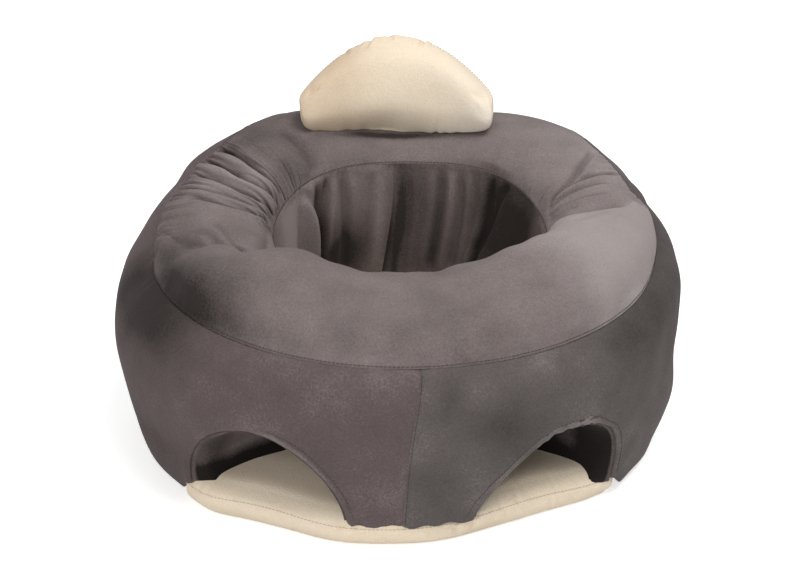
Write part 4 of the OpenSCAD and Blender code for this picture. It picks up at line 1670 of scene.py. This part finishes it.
    def stuffing(self) -> Piece:
        """Makes the ring's stuffing in its bag, inside the covers.

        Returns:
            The closed form.
        """
        f, inset = self.form, self.bag_inset
        turn = np.arange(self.bag_columns)[None, :] * (360 / self.bag_columns)
        rise = np.max([f.leg_rise((turn + shift + 180) % 360 - 180) for shift in (-4, 0, 4)], axis=0)
        low = np.maximum(f.floor, f.foot + rise) + inset
        rows = []
        for share in np.linspace(0, 1, 12)[:-1]:
            height = low + (f.rim_height.at(turn) - inset - low) * share
            rows.append(polar(turn, f.wall_radius(turn, height) - inset, height)[0])
        middle = (f.crest_radius.at(turn), f.crest_height.at(turn) - 0.06)
        for share in np.linspace(0, 1, 16)[:-1]:
            radius, height = f.top_point(turn, np.full_like(turn, share))
            keep = 1 - 1.4 * inset / np.hypot(radius - middle[0], height - middle[1])
            radius = middle[0] + (radius - middle[0]) * keep
            rows.append(polar(turn, radius, middle[1] + (height - middle[1]) * keep)[0])
        for share in np.linspace(0, 1, 10):
            height = f.well_height.at(turn) + (low - f.well_height.at(turn)) * share
            rows.append(polar(turn, f.lining_radius(turn, height) + inset, height)[0])
        grid = f.drape(np.stack(rows))
        index = np.arange(len(rows) * self.bag_columns).reshape(len(rows), -1)
        faces = faces_between(wrapped(np.concatenate([index, index[:1]])))
        points = grid.reshape(-1, 3)
        piece = new_piece("ring_stuffing_bag", points, faces.tolist(), self.finishes.bag)
        return self.dress(piece, "fibre_bag", "ring_filling", "ring_bottom_lining")

    def build(self) -> list[Piece]:
        """Makes every piece of the ring.

        Returns:
            The pieces.
        """
        made = self.top()
        for side in Side:
            made += [*self.wall(side), self.lining(side), self.tunnel(side)]
        return [*made, self.stuffing()]


# ---- The base cushion ----


# The base's section above and below its seam, as distances in from it and shares of the way up
BASE_SHOULDER = ((0, 0), (0.0034, 0.44), (0.010, 0.82))
BASE_UNDERSIDE = ((0.090, 0), (0.050, 0), (0.013, 0), (0.0055, 0.22), (0.0015, 0.58), (0, 1))
# Section of the base's stuffing bag, as shares of its radius and heights
BAG_UNDER = ((0.004, 0.009), (0.5, 0.009), (0.94, 0.009))
BAG_OVER = ((1.0, 0.014), (0.94, 0.022), (0.5, 0.0255), (0.004, 0.0265))


@dataclass
class BaseCushion(SewnPart):
    """The flat cream cushion that the ring is sewn on: a top and a bottom cover."""

    height: float = 0.029
    seam_height: float = 0.013
    seam_lift: float = 0.005
    floor_crown: float = 0.001
    leg_flat: float = 0.006
    leg_far: float = 45.0
    edge_swells: tuple[Swell, ...] = (
        Swell(33, 14, -0.010),
        Swell(-14, 9, 0.005),
        Swell(-39, 5, 0.0035),
    )
    # Turns past which the edge draws in under the wall, left and right, and by how much
    tuck_turns: tuple[float, float] = (45.5, 48.0)
    tuck: float = 0.013
    aside: float = -0.002
    columns: int = 720
    bag_columns: int = 120
    bag_inset: float = 0.012
    slit_start: float = -0.1412
    slit_end: float = 0.1320
    slit_y: float = 0.062
    slit_width: float = 0.020
    hem_width: float = 0.003
    hem_foot: float = 0.0009
    hem_height: float = 0.0046
    hem_round: float = 0.0007
    hem_stitch: float = 0.002
    hem_overlap: float = 0.0004
    below_floor: float = -0.001

    def over_slit(self, name: str, grow: float, low: float, high: float) -> Piece:
        """Models a box over the zip's slit.

        Args:
            name: The box's name.
            grow: How far it reaches past the slit all round.
            low: Height of its underside.
            high: Height of its top.

        Returns:
            The box.
        """
        deselect()
        length = self.slit_end - self.slit_start + 2 * grow
        middle = ((self.slit_start + self.slit_end) / 2, self.slit_y, (low + high) / 2)
        size = (length, self.slit_width + 2 * grow, high - low)
        bpy.ops.mesh.primitive_cube_add(size=1, location=middle, scale=size)
        return settle(bpy.context.object, name)

    def open_slit(self, piece: Piece, high: float, narrower: float) -> None:
        """Cuts the slit through a piece from below, and keeps the cut's edges crisp.

        Args:
            piece: What is cut.
            high: Height at which the cut ends.
            narrower: How much less than the slit is cut, all round.
        """
        cutter = self.over_slit("slit_cutter", -narrower, self.below_floor, high)
        deselect()
        piece.select_set(True)
        bpy.context.view_layer.objects.active = piece
        bpy.ops.object.modifier_add(type="BOOLEAN")
        modifier = piece.modifiers[-1]
        modifier.object = cutter
        bpy.ops.object.modifier_apply(modifier=modifier.name)
        bpy.data.objects.remove(cutter)
        bpy.ops.object.mode_set(mode="EDIT")
        bpy.ops.mesh.select_mode(type="EDGE")
        bpy.ops.mesh.select_all(action="DESELECT")
        bpy.ops.mesh.edges_select_sharp(sharpness=math.radians(60))
        bpy.ops.mesh.mark_sharp()
        bpy.ops.object.mode_set(mode="OBJECT")

    def hem(self) -> list[Piece]:
        """Makes the turned hem round the slit, and the stitches that hold the zip's tapes to it.

        Returns:
            The hem and its stitches.
        """
        piece = self.over_slit("zip_hem", self.hem_width, self.hem_foot, self.hem_height)
        self.open_slit(piece, high=0.010, narrower=self.hem_overlap)
        bpy.ops.object.modifier_add(type="BEVEL")
        modifier = piece.modifiers[-1]
        modifier.width = self.hem_round
        modifier.segments = 3
        bpy.ops.object.modifier_apply(modifier=modifier.name)
        piece.data.materials.append(self.finishes.cream)
        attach(piece, self.body)
        x0, x1 = self.slit_start - self.hem_stitch, self.slit_end + self.hem_stitch
        beside = self.slit_width / 2 + self.hem_stitch
        y0, y1 = self.slit_y - beside, self.slit_y + beside
        route = np.array([(x0, y0, 0.0), (x1, y0, 0.0), (x1, y1, 0.0), (x0, y1, 0.0)])
        normals = np.tile((0.0, 0.0, -1.0), (4, 1))
        row = StitchRow("zip_hem_stitches", slot="plush_cream", lift=-0.0001)
        return [piece, row.lay(route, normals, self.finishes.cream_thread, wrap=True)]

    def edge(self, turn: Array) -> Array:
        """Radius of the seam round the cushion."""
        place = side_turn(turn)
        flat = self.leg_flat * np.sin(np.radians(180 * place / self.leg_far)) ** 2
        radius = self.form.foot_radius.at(turn) - np.where(place < self.leg_far, flat, 0)
        for swell in self.edge_swells:
            radius = radius + swell.at(turn)
        wall = np.where(np.asarray(turn) < 0, *self.tuck_turns)
        return radius - self.tuck * ease((place - wall) / 5)

    def at_legs(self, turn: Array, width: float) -> Array:
        """1 in the middle of the leg openings, fading out over a width."""
        return hump(turn, -28, width) + hump(turn, 28, width)

    def cloth(
        self, name: str, knots: Sequence[tuple[Array, Array]], seed: int, from_middle: bool
    ) -> Cloth:
        """Lofts a cover and sculpts its puckers.

        Args:
            name: The cover's name.
            knots: Radius and height of each point of its section, for every column.
            seed: Chooses the puckers.
            from_middle: True if the section starts in the middle and ends at the seam.

        Returns:
            The cover.
        """
        turn = self.turns()
        radius = smooth_path(np.array([k[0] + 0 * turn for k in knots]), 8)
        height = smooth_path(np.array([k[1] + 0 * turn for k in knots]), 8)
        grid = polar(turn[None, :], radius, height)
        grid[..., 0] += self.aside
        cloth = Cloth(name, grid, wrap=True, pole_first=from_middle, pole_last=not from_middle)
        far = along_rows(grid)
        from_seam = far[-1:] - far if from_middle else far
        lifted = ease(height / 0.004)
        puckers = all_round(3.4, 0.013, 0.0016, seed).height(turn[None, :] + 0 * far, from_seam)
        beside_pommel = 1 + 1.2 * (hump(turn, -9, 5) + hump(turn, 13, 4))[None, :]
        move = beside_pommel * puckers * lifted
        uneven = 0.0006 * lumps(turn[None, :], radius, seed + 1, 0.030)
        move = move + uneven * lifted * ease(from_seam / 0.010)
        cloth.push(move - 0.0012 * np.exp(-from_seam / 0.002) * lifted)
        return cloth

    def turns(self) -> Array:
        """Turns of the columns."""
        return np.linspace(-180, 180, self.columns + 1)[:-1]

    def covers(self) -> list[Piece]:
        """Makes the top and the bottom cover.

        Returns:
            The two covers, and the stitches of the seam between them.
        """
        turn = self.turns()
        edge = self.edge(turn)
        s = self.seam_height + self.seam_lift * self.at_legs(turn, 22)
        h = self.height + 0 * turn
        crown = 0.0015 * self.at_legs(turn, 13)
        middle, half_way = 0.0004 + 0 * edge, 0.28 * edge
        over = [(edge - inset, s + share * (h - s)) for inset, share in BASE_SHOULDER]
        over += [
            (edge - 0.021, h + crown),
            (edge - 0.050, h - 0.001),
            (edge - 0.090, h - 0.002),
            (half_way, h),
            (middle, h + self.floor_crown),
        ]
        under = [(middle, 0 * s), (half_way, 0 * s)]
        under += [(edge - inset, share * s) for inset, share in BASE_UNDERSIDE]
        top = self.cloth("base_top_plush", over, 61, from_middle=False)
        bottom = self.cloth("base_bottom_plush", under, 63, from_middle=True)
        made = []
        for cloth, node in ((top, "base_top_cover"), (bottom, "base_bottom_cover")):
            piece = cloth.solid(self.finishes.cream)
            made.append(self.dress(piece, "plush_cream", node))
        self.open_slit(made[-1], high=0.005, narrower=0.0)
        row = StitchRow("base_seam_stitches", slot="plush_cream")
        thread = self.finishes.cream_thread
        made.append(row.lay(top.grid[3], top.normals()[3], thread, wrap=True))
        return made

    def stuffing(self) -> Piece:
        """Makes the cushion's stuffing in its bag.

        Returns:
            The closed form.
        """
        turn = np.arange(self.bag_columns) * (360 / self.bag_columns)
        edge = self.edge((turn + 180) % 360 - 180) - self.bag_inset
        rows = [(edge * share, height + 0 * edge) for share, height in (*BAG_UNDER, *BAG_OVER)]
        grid = np.stack([polar(turn, radius, height) for radius, height in rows])
        count = grid.shape[0] * self.bag_columns
        index = wrapped(np.arange(count).reshape(-1, self.bag_columns))
        tips = [grid[0].mean(axis=0)[None], grid[-1].mean(axis=0)[None]]
        points = np.concatenate([grid.reshape(-1, 3), *tips])
        closing = (fan(count, index[0]), fan(count + 1, index[-1])[:, [0, 2, 1]])
        faces = [face for part in (faces_between(index), *closing) for face in part.tolist()]
        piece = new_piece("base_stuffing_bag", points, faces, self.finishes.bag)
        return self.dress(piece, "fibre_bag", "base_filling")

    def build(self) -> list[Piece]:
        """Makes the cushion's pieces."""
        return [*self.covers(), *self.hem(), self.stuffing()]


# ---- The head pillow ----


@dataclass
class HeadPillow(SewnPart):
    """The half-moon pillow on the back of the ring: front, back and foot panels."""

    body: str = "head_pillow"
    fill: float = 0.75
    bag_fill: float = 0.75
    width: float = 0.1665
    height: float = 0.077
    thickness: float = 0.070
    behind: float = 0.154
    aside: float = -0.0028
    end_lift: float = 0.014
    end_top: float = 0.028
    bow: float = 0.032
    foot_share: float = 0.80
    gap: float = 0.0005
    lean: float = 0.003
    drawn_back: float = 0.0035
    bag_inset: float = 0.010
    columns: int = 200
    steps: int = 14
    # Creases of the front, as distance aside and below the top seam
    folds: tuple[Fold, ...] = (
        Fold(((-0.050, -0.002), (-0.048, 0.008), (-0.044, 0.018)), 0.0016, 0.0020),
        Fold(((-0.036, -0.002), (-0.034, 0.008), (-0.034, 0.014)), 0.0014, 0.0018),
        Fold(((-0.024, -0.002), (-0.027, 0.012), (-0.031, 0.026)), 0.0022, 0.0024),
        Fold(((-0.012, -0.002), (-0.008, 0.010), (-0.007, 0.022)), 0.0016, 0.0022),
        Fold(((0.023, -0.002), (0.020, 0.012), (0.017, 0.026)), 0.0030, 0.0018),
        Fold(((0.076, 0.020), (0.070, 0.030), (0.060, 0.040)), 0.0016, 0.0026),
        Fold(((-0.080, 0.018), (-0.074, 0.026), (-0.068, 0.030)), 0.0016, 0.0024),
    )

    def ring_top(self, x: Array, y: Array) -> Array:
        """Height of the ring's top under points seen from above."""
        turn = np.degrees(np.arctan2(x, -y))
        radius = np.hypot(x, y)
        best = np.zeros(x.shape)
        shares = np.linspace(0, 1, 60)
        lines = [self.form.top_point(turn[None], np.full_like(turn, s)[None]) for s in shares]
        radii = np.stack([line[0][0] for line in lines])
        heights = np.stack([line[1][0] for line in lines])
        for k in range(len(shares) - 1):
            inside = (radius <= radii[k]) & (radius >= radii[k + 1])
            t = (radii[k] - radius) / np.maximum(radii[k] - radii[k + 1], 1e-9)
            best = np.where(inside, heights[k] + (heights[k + 1] - heights[k]) * t, best)
        return best

    def grid(self) -> Array:
        """Lofts the pillow's outside.

        Returns:
            Points, rows round the section by columns, starting under the foot.
        """
        turn = np.radians(np.linspace(-89.6, 89.6, self.columns))
        e = np.cos(turn)
        x = self.width / 2 * np.sin(turn)
        mid = self.behind - self.bow * np.sin(turn) ** 2
        drawn_back = self.drawn_back * e * falling(x, 0.012, 0.026)
        d = self.thickness / 2 * e**0.5
        low = self.end_lift * (1 - e) ** 3
        top = self.end_top + (self.height - self.end_top) * e**2
        rounded = 1 - (1 - e) ** 10
        middle = (top + low) / 2
        rise = (top - low) * rounded
        low = middle - rise / 2
        foot = d * (self.foot_share + 0.15 * (1 - e))
        under = self.ring_top(x, mid)
        level = ease(e / 0.25)

        def on_ring(y: Array) -> Array:
            """Height of the foot over the ring, level across the pillow near its ends."""
            return under + (self.ring_top(x, y) - under) * level + self.gap

        front, back = on_ring(mid - foot + drawn_back), on_ring(mid + foot)
        knots = []
        for s in (0.6, 0, -0.6):
            knots.append((mid + foot * s, on_ring(mid + foot * s) + low))
        knots += [
            (mid - foot + drawn_back, front + low),
            (mid - d * (1.07 - 0.03 * e) + 0.4 * drawn_back, front + low + 0.34 * rise),
            (mid - d * 0.68, front + low + 0.82 * rise),
            (mid + self.lean * e, front + low + rise),
            (mid + d * 0.66, front + low + 0.83 * rise),
            (mid + d, front + low + 0.42 * rise),
            (mid + foot, back + low),
        ]
        y = np.stack([k[0] for k in knots])
        z = np.stack([k[1] for k in knots])
        closed = np.stack([np.broadcast_to(x + self.aside, y.shape), y, z], axis=-1)
        t = (np.arange(self.steps) / self.steps)[:, None, None]
        before, after, later = (np.roll(closed, shift, axis=0) for shift in (1, -1, -2))
        return np.concatenate(
            [catmull(*four, t) for four in zip(before, closed, after, later, strict=True)]
        )

    def relief(self, name: str, x: Array, down: Array, up: Array) -> Array:
        """How far a panel's cloth moves outwards.

        Args:
            name: The panel's name.
            x: Distance of each point aside.
            down: Its distance below the top seam.
            up: Its distance above the foot seam.

        Returns:
            The move at each point.
        """
        if name == "foot":
            return 0 * x
        calm = ease(np.minimum(down, up) / 0.006)
        uneven = 0.0009 * lumps(x * 300, down, 71, 0.030)
        groove = -0.0008 * np.exp(-down / 0.0020) - 0.0008 * np.exp(-up / 0.0020)
        top = Gathers(-0.066, 0.064, 0.0120, 0.016, 0.0007, seed=72, fade=0.012)
        bottom = Gathers(-0.078, 0.074, 0.0150, 0.016, 0.0016, seed=73, fade=0.010)
        made = groove + calm * uneven + top.height(x, down) + bottom.height(x, up)
        if name == "front":
            made = made + calm * sum(fold.height(x, down, (1.0, 1.0)) for fold in self.folds)
        return made

    def build(self) -> list[Piece]:
        """Makes the pillow.

        Returns:
            The pillow's pieces.
        """
        grid = self.grid()
        normals = -np.swapaxes(grid_normals(np.swapaxes(grid, 0, 1), wrap=True), 0, 1)
        round_grid = np.concatenate([grid, grid])
        round_normals = np.concatenate([normals, normals])
        half = self.steps // 2
        foot_seam, top_seam, back_seam = 2 * self.steps + half, 6 * self.steps + half, 9 * self.steps
        panels = {
            "front": (foot_seam, top_seam, "pillow_front_cover"),
            "back": (top_seam, back_seam, "pillow_back_cover"),
            "foot": (back_seam, len(grid) + foot_seam, "pillow_base_cover"),
        }
        made = []
        for name, (first, last, node) in panels.items():
            rows = slice(first, last + 1)
            cloth = Cloth(f"pillow_{name}_plush", round_grid[rows], held_normals=round_normals[rows])
            far = along_rows(cloth.grid)
            down, up = (far, far[-1:] - far) if name == "back" else (far[-1:] - far, far)
            relief = self.relief(name, cloth.grid[..., 0], down, up)
            cloth.push(relief)
            if name != "foot":
                x = cloth.grid[..., 0]
                # Painted shade in creases and on the left; painted light low on the front, most on the
                # right
                cloth.nap = 0.5 * CREASE_SHADE * np.minimum(relief, 0) - 0.20 * np.exp(-up / 0.012)
                cloth.nap -= 0.30 * ease(-x / 0.06)
                painted_light_low_right = rising(x, 0.02, 0.04) * np.exp(-up / 0.030)
                cloth.nap += 0.35 * painted_light_low_right + 0.25 * np.exp(-up / 0.020)
            piece = cloth.solid(self.finishes.cream)
            made.append(self.dress(piece, "plush_cream", node))
            if name == "front":
                row = StitchRow("pillow_seam_stitches", self.body, "plush_cream")
                route, ways = cloth.grid[-3, 12:-12], cloth.held_normals[-3, 12:-12]
                made.append(row.lay(route, ways, self.finishes.cream_thread))
        inner = np.swapaxes(grid - normals * self.bag_inset, 0, 1)[6:-6]
        bag = Cloth("pillow_stuffing_bag", inner, wrap=True)
        bag.flip = bag.pole_first = bag.pole_last = True
        piece = bag.solid(self.finishes.bag)
        return [*made, self.dress(piece, "fibre_bag", "pillow_filling")]


# ---- The zip ----


@dataclass
class Zip:
    """The zip in the base's underside: its solids carry on, with their own finishes."""

    finishes: Finishes

    def build(self) -> list[Piece]:
        """Gives the zip's solids their materials.

        Returns:
            The solids.
        """
        dressed = (
            (self.finishes.tape, ("zip_tape_front", "zip_tape_back")),
            (self.finishes.tooth, ("zip_teeth_front", "zip_teeth_back")),
            (self.finishes.nickel, ("zip_end_stops", "zip_slider", "zip_pull")),
        )
        made = []
        for material, nodes in dressed:
            for node in nodes:
                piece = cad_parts[node]
                for slot in piece.material_slots:
                    slot.material = material
                made.append(piece)
        return made


# ---- The studio ----


@dataclass(frozen=True)
class Studio:
    """Camera, lamps and floor."""

    target_height: float = 0.107
    distance: float = 1.2
    elevation: float = 25.0
    focal_pixels: float = 1463.0
    picture_width: float = 800.0
    room_light: float = 0.34
    # Floor's glow to the camera, and the distances from the seat between which it rises
    glow_near: float = 0.55
    glow_far: float = 0.75
    near: float = 0.8
    far: float = 2.2

    def camera(self) -> None:
        """Puts the camera where the photograph was taken from."""
        tilt = math.radians(self.elevation)
        data = bpy.data.cameras.new("camera")
        data.sensor_width = 36.0
        data.lens = self.focal_pixels / self.picture_width * data.sensor_width
        eye = bpy.data.objects.new("camera", data)
        reach = self.distance * math.cos(tilt)
        eye.location = (0, -reach, self.target_height + self.distance * math.sin(tilt))
        eye.rotation_euler = (math.pi / 2 - tilt, 0, 0)
        bpy.context.scene.collection.objects.link(eye)
        bpy.context.scene.camera = eye

    def lamp(self, name: str, place: tuple[float, float, float], size: float, watts: float) -> None:
        """Adds a soft square lamp that points at the seat.

        Args:
            name: The lamp's name.
            place: Where it hangs.
            size: Length of its side.
            watts: Its power.
        """
        data = bpy.data.lights.new(name, "AREA")
        data.size = size
        data.energy = watts
        lamp = bpy.data.objects.new(name, data)
        lamp.location = place
        aim = Vector((0, 0, self.target_height)) - Vector(place)
        lamp.rotation_euler = aim.to_track_quat("-Z", "Y").to_euler()
        bpy.context.scene.collection.objects.link(lamp)

    def floor(self) -> None:
        """Lays a plain pale floor, which glows to the camera so that only deep shadow shows."""
        deselect()
        bpy.ops.mesh.primitive_plane_add(size=12, location=(0, 0, -0.0002))
        plane = settle(bpy.context.object, "studio_floor")
        n = Nodes("studio_floor")
        n.shade(Base_Color=(0.9, 0.9, 0.9, 1), Roughness=1.0, Specular_IOR_Level=0.0)
        n.shade(Emission_Color=(1, 1, 1, 1))
        seen = n.add("LightPath").outputs["Is Camera Ray"]
        away = n.add("VectorMath", operation="LENGTH")
        n.link(n.coords.outputs["Object"], away.inputs[0])
        glow = n.add("MapRange", From_Min=self.near, From_Max=self.far)
        glow.inputs["To Min"].default_value = self.glow_near
        glow.inputs["To Max"].default_value = self.glow_far
        n.link(away.outputs["Value"], glow.inputs["Value"])
        shown = n.add("Math", operation="MULTIPLY")
        n.link(seen, shown.inputs[0])
        n.link(glow.outputs["Result"], shown.inputs[1])
        n.link(shown.outputs["Value"], n.shader.inputs["Emission Strength"])
        plane.data.materials.append(n.material)

    def world(self) -> None:
        """Fills the room with even light, and shows the camera a white backdrop."""
        world = bpy.data.worlds.new("studio")
        world.use_nodes = True
        tree = world.node_tree
        back = tree.nodes["Background"]
        back.inputs["Color"].default_value = (1, 1, 1, 1)
        seen = tree.nodes.new("ShaderNodeLightPath")
        strength = tree.nodes.new("ShaderNodeMath")
        strength.operation = "MULTIPLY_ADD"
        strength.inputs[1].default_value = 1.0 - self.room_light
        strength.inputs[2].default_value = self.room_light
        tree.links.new(seen.outputs["Is Camera Ray"], strength.inputs[0])
        tree.links.new(strength.outputs["Value"], back.inputs["Strength"])
        bpy.context.scene.world = world

    def build(self) -> None:
        """Sets up the studio."""
        self.camera()
        self.floor()
        self.world()
        self.lamp("key", (0.6, -0.4, 2.0), 1.0, 23)
        self.lamp("fill", (-0.5, -1.8, 0.9), 1.2, 14)
        self.lamp("back", (-0.6, 1.2, 1.7), 1.0, 5)
        bpy.context.scene.view_settings.view_transform = "Standard"


def main() -> None:
    """Builds the seat and its studio."""
    logging.basicConfig(level=logging.INFO, format="%(name)s: %(message)s")
    Studio().build()
    finishes = Finishes()
    for part in (PlushRing(finishes), BaseCushion(finishes), HeadPillow(finishes), Zip(finishes)):
        for piece in part.build():
            LOG.info("%s: %s, %d faces", type(part).__name__, piece.name, len(piece.data.polygons))


if __name__ == "__main__":
    main()
